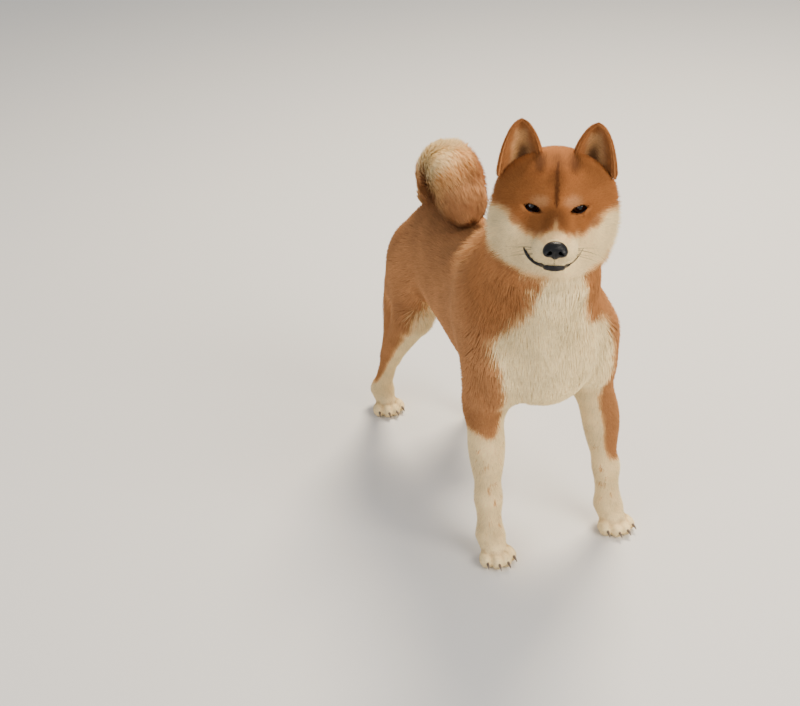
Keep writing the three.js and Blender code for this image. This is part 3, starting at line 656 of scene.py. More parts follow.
def coatMaterial(name, sheen):
    # dog's coat: dull keratin hairs, darker at the root, each tuft a shade of its own
    material, tree = newMaterial(name)
    red, darkHairAndShade, tip, tone, bare = (attributeOf(tree, key) for key in ("red", "darkHairAndShade", "tip", "tone", "bare"))
    strands, patches = (noiseOf(tree, coatColours[key], 3) for key in ("strandMm", "patchMm"))
    tips = rampOf(tree, red, [[share, atTip] for share, atTip, _ in coatColours["hairs"]])
    feet = rampOf(tree, red, [[share, atRoot] for share, _, atRoot in coatColours["hairs"]])
    shade = mixColours(tree, tip, feet, tips)
    # darker hairs and painted shade both mix towards the dark colour
    shade = mixColours(tree, darkHairAndShade, shade, colour(coatColours["darkHairAndShade"]))
    for pattern, key in ((tone, "tone"), (strands, "strands"), (patches, "patches")):
        low, high, least, most = coatColours[key]
        share = addNode(tree, "ShaderNodeMapRange", links={"Value": pattern}, inputs={
            "From Min": low, "From Max": high, "To Min": least, "To Max": most})
        shade = mixColours(tree, 1.0, shade, share.outputs[0], "MULTIPLY")
    shade = mixColours(tree, bare, shade, colour(coatColours["bare"]))
    bump = addNode(tree, "ShaderNodeBump", None, {"Strength": 0.4, "Distance": 0.0005}, {"Height": strands})
    finishMaterial(tree, shade, {"Roughness": 0.85, "Specular IOR Level": 0.1, "Sheen Weight": sheen,
                                 "Sheen Roughness": 0.5, "Sheen Tint": colour(coatColours["sheenHex"])},
                   bump.outputs[0])
    return material


# Markings: how red, and how dark from darker hair and painted shade, the coat is at a point with the outward
# direction n
markingSizes = {
    "cheekLine": [[0, -40], [12, -30], [20, -23], [30, -26], [40, -16], [50, -6], [60, -4], [76, -9], [100, -14]],
    "bibRight": [[90, -60], [176, -57], [200, -50], [246, -54], [267, -60], [299, -68], [322, -66], [338, -54],
                 [350, -44], [367, -40], [427, -30], [470, -22]],
    "bibLeft": [[96, 108], [104, 98], [119, 90], [164, 84], [202, 84], [254, 89], [290, 84], [316, 70], [340, 50],
                [352, 30], [372, 20], [420, 14], [450, 16]],
    "bibBack": [[90, -60], [225, -70], [258, -120], [285, -163], [345, -168], [385, -165], [420, -150],
                [470, -130]],
    # height, rounding and middle of the red sleeves' ends, on the dog's right and left of x = 15
    "sleeves": [[178, 0.02, -63], [98, 0.03, 104]], "sleeveBorder": 15,
    "shank": [[0, -1.2], [45, -0.7], [75, -0.1], [110, 0.0], [160, 0.12], [205, 0.3], [235, 0.62], [270, 1.3]],
    "ruffLine": [[-80, -50], [-54, -64], [-37, -70], [-20, -200], [26, -200], [40, -76], [58, -67], [80, -58]],
    # darker hair on the bridge, and painted shade in the brow's furrow line, over the forehead's darker stripe
    # and at the temples before the ears: centre and half sizes of their shapes, how dark, soft edge
    "darkHairAndShade": {
        "bridge": [[0, -32, -6], [13, 26, 17], 0.42, 6], "brow": [[0, -14, 34], [3.2, 30, 30], 0.8, 2.4],
        "stripe": [[0, -2, 42], [9, 30, 24], 0.45, 7],
        "templeShadeLeft": [[19, 8, 55], [8, 26, 16], 0.72, 6], "templeShadeRight": [[-19, 8, 55], [8, 26, 16], 0.72, 6],
    },
    # lighter brow spots and redder hairs past the corner of the eye, on both sides
    "browSpot": [[18, -14, 13], [9, 14, 6.5]], "eyeCorner": [[40, -2, -10], [11, 16, 9]],
    "edge": 5,
}
markingShares = {
    # how red the red coat is and how much more so on the neck, then how strong each small marking is
    "red": 0.82, "neck": 0.1, "aboveNose": 0.85, "blaze": 0.6, "eyeRingShade": 0.45, "browSpot": 0.24,
    "eyeCorner": 0.85, "ticks": 0.55, "saddle": 0.12,
}


def along(table, value):
    table = np.array(table, float)
    return np.interp(value, table[:, 0], table[:, 1])


def markings(p, n):
    where = regions(p)
    h = where["h"]
    rough = grain(p, 9, 3) * 3 + grain(p, 3.5, 5) * 1.6
    edge, shares = markingSizes["edge"], markingShares
    x, y, z = p.T
    red = np.ones(len(p))
    # bib, throat and insides of the forelegs
    bibBack = along(markingSizes["bibBack"], z) + rough
    front = smooth(bibBack + 12, bibBack - 12, y) * smooth(0.35, -0.05, n[:, 1])
    inBib = np.minimum(x - along(markingSizes["bibRight"], z), along(markingSizes["bibLeft"], z) - x) + rough
    red -= front * smooth(-edge, edge, inBib)
    # forelegs: cream from the red sleeve's rounded end down
    ends = [height + bend * (x - middle) ** 2 for height, bend, middle in markingSizes["sleeves"]]
    sleeve = np.where(x < markingSizes["sleeveBorder"], *ends)
    red -= smooth(20, -20, y) * smooth(edge, -edge, z - sleeve + rough)
    # belly and the insides of all legs
    inner = np.sign(x - 8) * -n[:, 0]
    red -= smooth(240, 200, z) * smooth(0.15, 0.55, inner) * smooth(60, 30, y)
    red -= smooth(-0.35, -0.75, n[:, 2]) * smooth(265, 240, z + rough)
    # hind legs: cream down the front and inside of the shank, and the feet
    frontInner = -0.75 * n[:, 1] + 0.55 * inner + 0.02 * rough
    red -= smooth(30, 60, y) * smooth(-0.22, 0.22, frontInner - along(markingSizes["shank"], z))
    # head: cheeks, muzzle and chin below the cheek line
    line = along(markingSizes["cheekLine"], np.abs(h[:, 0]))
    muzzle = smooth(-28, -40, h[:, 1])
    line = blendTo(line, np.where(np.abs(h[:, 0]) < 9, -14.0, -17.0), muzzle)
    creamHead = smooth(edge * 1.5, -edge * 1.5, h[:, 2] - line + rough * 0.8)
    aboveNose = smooth(-42, -50, h[:, 1])
    blaze = smooth(4.5, 1.5, np.abs(h[:, 0]) + 0.5 * rough) * smooth(-24, -40, h[:, 1])
    creamHead = np.maximum(creamHead, np.maximum(aboveNose * shares["aboveNose"], blaze * shares["blaze"]))
    ruffLine = along(markingSizes["ruffLine"], h[:, 0])
    behind = h[:, 1] + 0.35 * (h[:, 2] + 30) + 1.3 * np.maximum(-30 - h[:, 2], 0) + rough * 1.5
    creamHead = creamHead * smooth(-10, 4, h[:, 2] - ruffLine + rough) * smooth(80, 34, behind)
    redness = shares["red"] + shares["neck"] * where["neck"]
    red = blendTo(redness * np.clip(red, 0, 1), 1 - creamHead, where["head"])
    red = np.clip(red, 0, 1)
    # darker hair on the bridge; painted shade in the brow's furrow line, over the forehead's darker stripe, at
    # the temples and round the eyes, where the hair is a little darker too
    darkHairAndShade = np.zeros(len(p))
    for centre, size, weight, softEdge in markingSizes["darkHairAndShade"].values():
        shape = lump(centre, size)(h) + rough * 0.5
        darkHairAndShade = np.maximum(darkHairAndShade, weight * smooth(softEdge, -softEdge, shape) * where["head"])
    for side in (1, -1):
        away = np.linalg.norm((h - eyeCentre(side)) * [0.9, 1, 1.3], axis=1)
        darkHairAndShade = np.maximum(darkHairAndShade, shares["eyeRingShade"] * smooth(19, 13.5, away + rough * 0.3))
    for brow, corner in zip(bothSides(*markingSizes["browSpot"]), bothSides(*markingSizes["eyeCorner"])):
        red = red - shares["browSpot"] * smooth(5, -5, brow(h) + rough * 0.6) * where["head"]
        red = np.maximum(red, shares["eyeCorner"] * smooth(4, -4, corner(h) + rough * 0.4) * where["head"])
    # small brown ticks on the cream forelegs
    ticks = smooth(0.62, 0.72, grain(p, 5.5, 11)) * smooth(30, 60, z) * smooth(175, 150, z) * smooth(20, -20, y)
    red = np.maximum(red, shares["ticks"] * ticks)
    saddle = shares["saddle"] * smooth(0.3, 0.9, n[:, 2]) * smooth(300, 340, z) * (1 - where["head"])
    darkHairAndShade = np.maximum(darkHairAndShade, saddle)
    return np.clip(red, 0, 1), np.clip(darkHairAndShade, 0, 1)


def tailMarkings(p, n):
    # cream hair along the top of the curl, paler still where it faces up, back and to the dog's right as painted
    # light from above behind; gold to orange down to its end; painted shade in the hollow and, redder, on the
    # underside
    share = alongTail(p)["share"]
    rough = grain(p, 9, 3) * 6
    # painted light: paler where the curl faces up, back and to the dog's right
    outside = smooth(-0.3, 0.5, n[:, 2] - 0.5 * n[:, 0] + 0.5 * n[:, 1])
    crest = smooth(0.3, 0.55, share) * smooth(0.98, 0.68, share + 0.004 * (p[:, 0] + 20) + 0.01 * rough)
    tipTop = 0.55 * smooth(0.2, 0.8, n[:, 2]) * smooth(432, 455, p[:, 2] + rough)
    rear = 0.5 * smooth(0.2, 0.9, n[:, 1] - 0.3 * n[:, 0])
    red = 0.78 - 0.76 * np.maximum.reduce([outside * crest, tipTop, rear]) + 0.15 * smooth(0.1, -0.5, n[:, 2])
    # painted shade under the curl and in the hollow by its root
    hollowShade = np.maximum(smooth(0.1, -0.7, n[:, 2]) * smooth(0.0, 0.25, share),
                        smooth(0.5, 0.3, share) * smooth(0.1, -0.6, n[:, 1]))
    return np.clip(red, 0, 1), np.clip(0.6 * hollowShade, 0, 1)


def markingsOf(p, n):
    red, darkHairAndShade = markings(p, n)
    onTail = tailCore(p) < fleshOut(p) + coatDepth(p)
    if onTail.any():
        red[onTail], darkHairAndShade[onTail] = tailMarkings(p[onTail], n[onTail])
    return red, darkHairAndShade


# Ears: thick cupped shells that open forwards
earSizes = {
    "base": [40, 31, 30], "tip": {1: [43, 27, 88.5], -1: [41, 27, 91]}, "halfWidth": 27, "depth": 19,
    "wall": 7, "rim": 5, "roundness": 2.5, "taper": 0.28, "flare": [-0.22, -0.12], "inset": 1.0,
    "rings": 46, "steps": 36,
}
earRises = {side: np.array(tip, float) - earSizes["base"] for side, tip in earSizes["tip"].items()}


def earPoint(side, t, angle, inner):
    # t runs from the base to the tip, angle across the cup, inner is 0 outside and 1 inside
    taper = np.sqrt(np.maximum(1 - t ** earSizes["roundness"], 0.004))
    halfWidth = earSizes["halfWidth"] * taper * (1 - earSizes["taper"] * t)
    deep = earSizes["depth"] * taper
    wall = np.minimum(earSizes["wall"] * (1 - 0.5 * t), deep * 0.6) * inner
    rim = np.minimum(earSizes["rim"] * (1 - 0.5 * t), halfWidth * 0.45) * inner
    u = (halfWidth - rim) * np.sin(angle)
    v = (deep - wall) * np.cos(angle) - inner
    base, earRise, flare = earSizes["base"], earRises[side], earSizes["flare"]
    return fromHead(np.stack([
        side * (base[0] + earRise[0] * t + u),
        base[1] + earRise[1] * t + v + flare[0] * u,
        base[2] + earRise[2] * t + flare[1] * u * (1 - t),
    ], axis=-1))


def earFrame(side, t, angle, inner):
    # point, outward direction and the way to the tip
    step = 1e-3
    point = earPoint(side, t, angle, inner)
    higher = np.minimum(t + step, 1)
    toTip = earPoint(side, higher, angle, inner) - earPoint(side, higher - step, angle, inner)
    around = earPoint(side, t, angle + step, inner) - earPoint(side, t, angle - step, inner)
    way = unit(np.cross(toTip, around))
    through = earPoint(side, t, angle, 0) - earPoint(side, t, angle, 1)
    flip = np.sign((way * through).sum(-1, keepdims=True)) * np.where(inner > 0.5, -1, 1)[..., None]
    return point, way * flip, unit(toTip)


def earShell(side):
    # grid of one ear, the outer face and then the inner one, closed at the base and the tip
    rings, steps = earSizes["rings"], earSizes["steps"]
    t = (1 - (1 - np.linspace(0, 1, rings)) ** 1.6)[:, None] + np.zeros((1, 2 * steps))
    across = np.linspace(-np.pi / 2, np.pi / 2, steps)
    angle = np.concatenate([across, across[::-1]])[None] + np.zeros((rings, 1))
    inner = np.concatenate([np.zeros(steps), np.ones(steps)])[None] + np.zeros((rings, 1))
    point, way, _ = earFrame(side, t, angle, inner)
    through = earPoint(side, t, angle, 0 * inner) - earPoint(side, t, angle, 0 * inner + 1)
    thick = np.linalg.norm(through, axis=-1)
    point = point - way * np.minimum(earSizes["inset"], thick * 0.3)[..., None]
    number = np.arange(rings * 2 * steps).reshape(rings, 2 * steps)
    nextOne = np.roll(number, -1, axis=1)
    quads = np.stack([number[:-1], number[1:], nextOne[1:], nextOne[:-1]], axis=-1).reshape(-1, 4)
    ends = []
    for row, flip in ((0, False), (rings - 1, True)):
        k = np.arange(steps - 1)
        columns = (k, k + 1, 2 * steps - 2 - k, 2 * steps - 1 - k)
        cap = np.stack([number[row, column] for column in columns], axis=1)
        ends.append(cap[:, ::-1] if flip else cap)
    quads = np.vstack([quads] + ends)
    if side < 0:
        quads = quads[:, ::-1]
    return point.reshape(-1, 3), quads, t.ravel(), angle.ravel(), inner.ravel()


def earMarkings(t, angle, inner, p):
    # red outside and on the rims, beige inside, painted shade low in the cup
    rough = grain(p, 5, 41) * 0.08
    edge = np.maximum(np.abs(np.sin(angle)), smooth(0.35, 1.0, t))
    inside = inner > 0.5
    red = np.where(inside, 0.6 + 0.35 * smooth(0.5, 0.85, edge + rough), 0.95)
    bare = np.where(inside, 0.6 * smooth(0.85, 0.55, edge + rough), 0.0)
    # painted shade of the ear canal, low in the cup
    hollowShade = smooth(0.7, 0.2, np.abs(np.sin(angle) + 0.1) + rough) * smooth(0.62, 0.3, t)
    darkHairAndShade = np.where(inside, 0.85 * hollowShade, 0.04)
    return red, darkHairAndShade, bare


# One skin for the whole dog, in three zones of finer and finer cells, each sunk a little past its border
zoneSizes = {
    "body": {"low": [-130, -275, 195], "high": [130, 285, 540], "step": 4.2},
    "legs": {"low": [-122, -215, -4], "high": [122, 306, 222], "step": 2.5},
    "head": {"low": [-100, -300, 385], "high": [85, -112, 560], "step": 1.7},
}
zoneBorders = {"headBack": 80, "headUnder": -92, "legTop": 212, "overlap": 7, "sink": 0.22}


def headSide(p):
    h = toHead(p)
    return np.minimum(zoneBorders["headBack"] - h[:, 1], h[:, 2] - zoneBorders["headUnder"])


def zoneEdge(name, p):
    # how far a point is outside its zone
    if name == "head":
        return -headSide(p)
    if name == "legs":
        return p[:, 2] - zoneBorders["legTop"]
    return np.maximum(headSide(p), zoneBorders["legTop"] - p[:, 2])


def buildSkin():
    allPoints, allQuads, owned, count, faces = [], [], [], 0, 0
    for name, zone in zoneSizes.items():
        def shape(p, name=name):
            return skinField(p) + zoneBorders["sink"] * np.maximum(zoneEdge(name, p), 0)

        def keep(centre, name=name):
            return zoneEdge(name, centre) < zoneBorders["overlap"]
        points, quads = surfaceOf(shape, zone["low"], zone["high"], zone["step"], keep)
        owned.append(faces + np.flatnonzero(zoneEdge(name, points[quads].mean(1)) < 0))
        allPoints.append(points)
        allQuads.append(quads + count)
        count += len(points)
        faces += len(quads)
        print("skin zone", name, len(quads), "faces")
    return np.vstack(allPoints), np.vstack(allQuads), np.concatenate(owned)


skinPoints, skinQuads, ownFaces = buildSkin()
skinWays = unit(slopeOf(skinField, skinPoints))
skinRed, skinDark = markingsOf(skinPoints, skinWays)
parts = [(skinPoints, skinQuads, skinRed, skinDark, np.zeros(len(skinPoints)))]
for side in (1, -1):
    points, quads, t, angle, inner = earShell(side)
    red, darkHairAndShade, bare = earMarkings(t, angle, inner, points)
    parts.append((points, quads + sum(len(part[0]) for part in parts), red, darkHairAndShade, bare))
allPoints, allQuads, allRed, allDark, allBare = (np.concatenate(part) for part in zip(*parts))
masks = {"red": allRed, "darkHairAndShade": allDark, "bare": allBare, "tip": np.full(len(allPoints), 0.75),
         "tone": np.full(len(allPoints), 0.0)}
flesh = [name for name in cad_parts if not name.startswith(("eye_", "nose"))]
skinMaterial = coatMaterial("undercoat_on_skin", 0.0)
finishPiece(makeMesh("skin", allPoints, allQuads, masks), skinMaterial, flesh)
print("skin made,", len(allQuads), "faces")


# Coat: where the tufts stand, how they lie and how long they are
coatSizes = {
    # length, width and spacing of the tufts, mm
    "trunk": [21, 1.6, 1.95], "neck": [31, 1.7, 1.7], "breech": [27, 1.7, 1.9], "legs": [8.5, 1.0, 1.3],
    "feet": [5.5, 1.0, 1.2], "head": [9, 1.05, 1.02], "cheek": [17, 1.2, 1.12], "face": [5.4, 0.85, 0.88],
    "muzzle": [3.4, 0.75, 0.82],
}
tailSpacing = 1.22
growSizes = {
    # soft random fields by size in mm, seed and share; the names ending in Each are chance from tuft to tuft
    "swirlWide": [34, 21, 0.2], "swirlFine": [9, 22, 0.1], "swirlEach": 0.1, "calm": 0.5,
    "length": [12, 23, 0.12], "lengthEach": 0.18, "maneLength": 0.35,
    "rise": [14, 24, 0.06], "riseEach": 0.1, "maneRise": 1.6, "cheekRise": 0.7,
    "tone": [13, 26, 0.5], "toneEach": 0.45, "clump": 0.028, "jitter": 0.16, "maneBacklitPale": 0.3,
}
clearSizes = {
    # margins round what the coat leaves open, where the mouth is, and where the soles carry no tufts
    "eye": 1.9, "nose": [[0, -63, -25], [13, 10.5, 9.5]], "lips": 0.3, "overEye": 1.0, "overLips": 0.2,
    "mouthBelow": -18, "mouthBefore": 4, "ground": 2.5, "soleTop": 30, "soleWay": -0.8,
}
coatBorders = {"legTop": 226, "chest": -60, "rump": 70, "foreMiddle": 16, "hindMiddle": 8}
coatLies = {
    # directions of the body's coat in the dog's frame, and of the head's in its own
    "trunk": [0, 1, -0.45], "chest": [0, 0.05, -1], "level": [0, 1, -0.05],
    "neckSide": [0, 0.4, -0.95], "neckTop": [0, 0.8, -0.6], "neckFront": [0, -0.1, -1],
    "breech": [0, 0.6, -0.9], "legs": [0, 0.22, -1], "feet": [0, -0.9, -0.4],
    "crown": [0, 1, 0.35], "nape": [0, 0.3, -1],
}
coatLies = {name: np.array(way, float) for name, way in coatLies.items()}


def tuftSizes(p, where):
    sizes = np.tile(np.array(coatSizes["trunk"], float), (len(p), 1))
    share = dict(where, muzzle=where["head"] * smooth(-22, -34, where["h"][:, 1]))
    for name in ("neck", "breech", "legs", "feet", "head", "cheek", "face", "muzzle"):
        sizes = blendTo(sizes, np.array(coatSizes[name], float), share[name][:, None])
    return sizes.T


def fieldOf(name, p):
    size, seed, share = growSizes[name]
    return share * grain(p, size, seed)


def lieOf(p, n, where):
    # which way the coat lies, before it is laid into the skin
    up, front = smooth(0.1, 0.8, n[:, 2])[:, None], smooth(0.2, -0.5, n[:, 1])[:, None]
    under = smooth(-0.3, -0.8, n[:, 2])[:, None]
    way = blendTo(coatLies["trunk"], coatLies["chest"], front * smooth(-100, -150, p[:, 1])[:, None])
    way = blendTo(way, coatLies["level"], np.maximum(under, up))
    neckWay = blendTo(coatLies["neckSide"], coatLies["neckTop"], up)
    neckWay = blendTo(neckWay, coatLies["neckFront"], front)
    way = blendTo(way, neckWay, where["neck"][:, None])
    way = blendTo(way, coatLies["breech"], where["breech"][:, None])
    legWay = blendTo(coatLies["legs"], coatLies["feet"], where["feet"][:, None])
    way = blendTo(way, legWay, np.clip(where["legs"] + smooth(250, 215, p[:, 2]), 0, 1)[:, None])
    # on the face away from the nose and the eyes, over the crown and down the back of the skull
    h = where["h"]
    outwards, downwards = np.clip(h[:, 0] / 45, -1, 1) * 0.5, -0.1 - 0.5 * smooth(10, -20, h[:, 2])
    headWay = np.stack([outwards, np.ones(len(p)), downwards], axis=1)
    headWay = blendTo(headWay, coatLies["crown"], smooth(0, 30, h[:, 2])[:, None])
    for side in (1, -1):
        fromEye = h - eyeCentre(side)
        near = smooth(25, 13, np.linalg.norm(fromEye * [0.8, 1, 1], axis=1))[:, None]
        headWay = blendTo(headWay, unit(fromEye * [1, 0.3, 1]), near)
    headWay = blendTo(headWay, coatLies["nape"], smooth(0.35, 0.85, (n @ headTurn)[:, 1])[:, None])
    return blendTo(way, headWay @ headTurn.T, where["head"][:, None])


def flattened(way, n):
    # directions laid into the surface
    return unit(way - (way * n).sum(1, keepdims=True) * n)


def turned(way, n, angle):
    return way * np.cos(angle)[:, None] + np.cross(n, way) * np.sin(angle)[:, None]


def atHeight(points, n, height):
    # points moved along n until they stand height mm above the skin
    for _ in range(2):
        points = points + n * np.clip(height - skinField(points), -9, 9)[:, None]
    return points


tuftFaces = {
    # foot ring 0-2, tip last; the long ones have a middle ring 3-5; the first faces are the upper ones
    "short": [[0, 2, 3], [2, 1, 3], [1, 0, 3], [0, 1, 2]],
    "long": [[0, 5, 3], [0, 2, 5], [2, 4, 5], [2, 1, 4], [3, 5, 6], [5, 4, 6], [1, 3, 4], [1, 0, 3], [4, 3, 6],
             [0, 1, 2]],
    "upper": {"short": 2, "long": 6},
}
bladeSizes = {
    # sunk is in mm, the others are shares of the width; floor is the least height above the ground, mm
    "sunk": 1.2, "foot": 0.46, "middle": 0.5, "ridge": 0.42, "footRidge": 0.7, "footLean": 0.2,
    "floor": {"foot": 0.3, "tip": 0.8},
}


def tuftMesh(name, roots, mids, tips, n, widths, masks, places, soft=0.7):
    # closed three-sided blades with their feet in the skin; soft turns their shading to the skin's direction
    kind = "short" if mids is None else "long"
    way = unit(tips - roots)
    side = unit(np.cross(way, n))
    up = unit(np.cross(side, way))
    w, sizes = widths[:, None], bladeSizes
    foot, across = roots - n * sizes["sunk"], side * w * sizes["foot"]
    points = [foot - across, foot + across, foot + (n * sizes["footRidge"] + way * sizes["footLean"]) * w, tips]
    for corner in points:
        corner[:, 2] = np.maximum(corner[:, 2], sizes["floor"]["foot"])
    own = [unit(n - side), unit(n + side), n, unit(up + way * 0.4)]
    tip, patch = [0, 0, 0, 1.0], [[0, 0], [1, 0], [0.5, 0], [0.5, 1]]
    if kind == "long":
        across = side * w * sizes["middle"]
        points[3:3] = [mids - across, mids + across, mids + up * w * sizes["ridge"]]
        own[3:3] = [unit(up - side * 0.8), unit(up + side * 0.8), up]
        tip[3:3], patch[3:3] = [0.5, 0.5, 0.55], [[0, 0.5], [1, 0.5], [0.5, 0.5]]
    count, corners = len(roots), len(points)
    normals = unit(np.stack(own, axis=1) * (1 - soft) + n[:, None] * soft)
    one = np.array(tuftFaces[kind])
    faces = (np.arange(count)[:, None, None] * corners + one[None]).reshape(-1, 3)
    values = {key: np.repeat(value, corners) for key, value in masks.items()}
    values["tip"] = np.tile(tip, count)
    piece = makeMesh(name, np.stack(points, axis=1).reshape(-1, 3), faces, values)
    perCorner = normals[:, one]
    perCorner[:, tuftFaces["upper"][kind]:] = unit(way - up * 0.5)[:, None, None]
    piece.data.normals_split_custom_set(perCorner.reshape(-1, 3))
    uv = np.clip(places, 0, 1)[:, None] * 0.99 + 0.003 + np.array(patch) * 0.003
    layer = piece.data.uv_layers.new(name="OFBake")
    layer.data.foreach_set("uv", uv.reshape(-1, 2)[faces.ravel()].astype(np.float32).ravel())
    return piece


def pickRoots(points, normals, quads, spacing):
    # roots spread evenly over the quads, one to each spacing x spacing mm
    corners = points[quads]
    area = 0.5 * np.linalg.norm(np.cross(corners[:, 2] - corners[:, 0], corners[:, 3] - corners[:, 1]), axis=1)
    total = np.cumsum(area / spacing ** 2)
    wanted = np.arange(int(total[-1])) + rng.random(int(total[-1]))
    face = np.minimum(np.searchsorted(total, wanted), len(quads) - 1)
    s, t = rng.random((2, len(face), 1))

    def spread(values):
        v = values[quads[face]]
        return (v[:, 0] * (1 - s) + v[:, 1] * s) * (1 - t) + (v[:, 3] * (1 - s) + v[:, 2] * s) * t
    return spread(points), unit(spread(normals)), face


quadCentres = skinPoints[skinQuads].mean(1)
centreWhere = regions(quadCentres)
spacing = tuftSizes(quadCentres, centreWhere)[2]
onTail = tailCore(quadCentres) < fleshOut(quadCentres) + coatDepth(quadCentres, centreWhere) + 2
spacing[onTail] = tailSpacing
roots, rootWays, rootFace = pickRoots(skinPoints, skinWays, skinQuads[ownFaces], spacing[ownFaces])
rootWhere = regions(roots)
length, width, _ = tuftSizes(roots, rootWhere)
depth = coatDepth(roots, rootWhere)
tailRoot = onTail[ownFaces][rootFace]
floorSkin = (roots[:, 2] < clearSizes["ground"]) | (
    (rootWays[:, 2] < clearSizes["soleWay"]) & (roots[:, 2] < clearSizes["soleTop"]))
print("tuft roots:", len(roots), "of them on the tail", int(tailRoot.sum()))

# Lips: a dark edge along the mouth, thick at the dog's right corner, and the lower lip's dark skin in front
lipSizes = {
    "width": [[0, 0.8], [0.05, 2.0], [0.2, 2.2], [0.32, 1.7], [0.5, 1.3], [0.7, 1.2], [0.85, 0.9], [1, 0.5]],
    "lower": {"half": 18, "height": 6.4}, "philtrum": [[0, -66, -34], [0, -64, -40], [0, -60, -46]],
    "hex": "#0d0a0a",
}
mouthShare = np.linspace(0, 1, len(mouthLine))
mouthOut = unit(slopeOf(headSkin, mouthLine))
lower = lipSizes["lower"]
lowerPart = np.abs(mouthLine[:, 0]) < lower["half"]
across = mouthLine[lowerPart, 0] / lower["half"]
lowerHalf = 0.5 * lower["height"] * (1 - across ** 2) + 0.3
lowerLine = mouthLine[lowerPart] + np.array([0, 0.3, -0.85]) * lowerHalf[:, None]
lowerLine = lowerLine + mouthOut[lowerPart] * (0.5 + 1.3 * np.abs(across))[:, None]


def lipEdge(h):
    # distance to the edge of the lips' dark skin
    found = np.full(len(h), 1e9)
    for line, halves in ((mouthLine, along(lipSizes["width"], mouthShare)), (lowerLine, lowerHalf)):
        for point, half in zip(line, halves):
            found = np.minimum(found, np.linalg.norm(h - point, axis=1) - half)
    return found


def onEye(h, margin):
    found = np.zeros(len(h), bool)
    for side in (1, -1):
        q = (h - eyeCentre(side)) @ lidFrame(side)
        found |= ((np.abs(q[:, 0]) < lidSizes["width"] / 2 + margin) & (np.abs(q[:, 1]) < 16)
                  & (np.abs(q[:, 2]) < almond(q[:, 0] * 0.85) + margin))
    return found


# The coat keeps clear of what it doesn't cover: eyes, nose and lips
h = rootWhere["h"]
onHead = rootWhere["head"] > 0.5
bare = onEye(h, clearSizes["eye"]) | (lump(*clearSizes["nose"])(h) < 0)
atMouth = (h[:, 2] < clearSizes["mouthBelow"]) & (h[:, 1] < clearSizes["mouthBefore"])
nearMouth = np.flatnonzero(onHead & atMouth)
toMouth = lipEdge(h[nearMouth])
bare[nearMouth] |= toMouth < clearSizes["lips"]
length[nearMouth] *= np.clip(toMouth / 4, 0.35, 1)

rootCount = len(roots)
lie = flattened(lieOf(roots, rootWays, rootWhere), rootWays)
swirl = fieldOf("swirlWide", roots) + fieldOf("swirlFine", roots)
swirl = swirl + growSizes["swirlEach"] * rng.standard_normal(rootCount)
calm = 1 - growSizes["calm"] * np.maximum(rootWhere["face"], rootWhere["legs"])
lie = turned(lie, rootWays, swirl * calm)

# a tuft that would hang over an eye or the lips is shorter, or left out
for shorter in (0.4, 0):
    probe = toHead(roots + lie * length[:, None])
    over = onHead & onEye(probe, clearSizes["overEye"])
    over[nearMouth] |= lipEdge(probe[nearMouth]) < clearSizes["overLips"]
    length[over] *= shorter
onBody = ~tailRoot & ~floorSkin & ~bare & (length > 0)
length = length * (1 + growSizes["lengthEach"] * rng.standard_normal(rootCount).clip(-1.5, 1.5))
length = length * (1 + fieldOf("length", roots))
mane = rootWhere["neck"] * smooth(0.1, 0.6, rootWays[:, 2]) * smooth(-150, -100, roots[:, 1])
length = length * (1 + growSizes["maneLength"] * mane)
rise = depth * (0.95 + growSizes["riseEach"] * rng.random(rootCount) + fieldOf("rise", roots))
raised = growSizes["maneRise"] * mane + growSizes["cheekRise"] * rootWhere["cheek"]
rise = rise * (1 + raised * rng.random(rootCount) ** 2)
clump = np.cross(rootWays, lie) * (grain(roots, 7, 25) * length * growSizes["clump"])[:, None]
tone = np.clip(fieldOf("tone", roots) + growSizes["toneEach"] * rng.standard_normal(rootCount), -1, 1)
jitter = rng.standard_normal((rootCount, 3)) * np.minimum(length, 12)[:, None] * growSizes["jitter"]
shownAt = roots + lie * (length * 0.6)[:, None] + jitter
rootRed, rootDark = markings(shownAt, rootWays)
# paler random tufts in the ruff: painted light, as on backlit spiky hairs
rootRed = rootRed - growSizes["maneBacklitPale"] * np.clip(rootRed, 0, 1) * mane * rng.random(rootCount)
tailShown = roots[tailRoot] + alongTail(roots[tailRoot])["way"] * 20
rootRed[tailRoot], rootDark[tailRoot] = tailMarkings(tailShown, rootWays[tailRoot])


def circled(x, y):
    return np.arctan2(x, y) / (2 * np.pi) + 0.5


def unwrapTrunk(p):
    return np.stack([circled(p[:, 0] - 5, p[:, 2] - 300), (p[:, 1] + 260) / 520], axis=1)


def unwrapNeck(p):
    axis = unit(np.array([0, -0.5, 0.86]))
    q = p - [2, -150, 360]
    forwards = q @ np.cross([1, 0, 0], axis)
    return np.stack([circled(q[:, 0], forwards), (q @ axis + 110) / 240], axis=1)


def unwrapHead(p):
    q = unit(toHead(p) - [0, 14, -12])
    bend = np.arccos(np.clip(-q[:, 1], -1, 1)) / np.pi
    turn = np.arctan2(q[:, 2], q[:, 0])
    return np.stack([0.5 + 0.49 * bend * np.cos(turn), 0.5 + 0.49 * bend * np.sin(turn)], axis=1)


def unwrapLeg(leg):
    keys = [key for key in ("shoulder", "hip", "elbow", "knee", "wrist", "hock", "paw") if key in leg]
    line = np.array([leg[key] for key in keys], float)[::-1]

    def unwrap(p):
        middle = np.stack([np.interp(p[:, 2], line[:, 2], line[:, k]) for k in (0, 1)], axis=1)
        return np.stack([circled(p[:, 0] - middle[:, 0], p[:, 1] - middle[:, 1]), p[:, 2] / 300], axis=1)
    return unwrap


def unwrapTail(p):
    there = alongTail(p)
    steps = np.linspace(0, 1, len(tailLine))
    q = p - np.stack([np.interp(there["share"], steps, tailLine[:, k]) for k in range(3)], axis=1)
    across = np.cross(there["way"], [1.0, 0, 0])
    return np.stack([circled(q[:, 0], (q * across).sum(1)), there["share"]], axis=1)


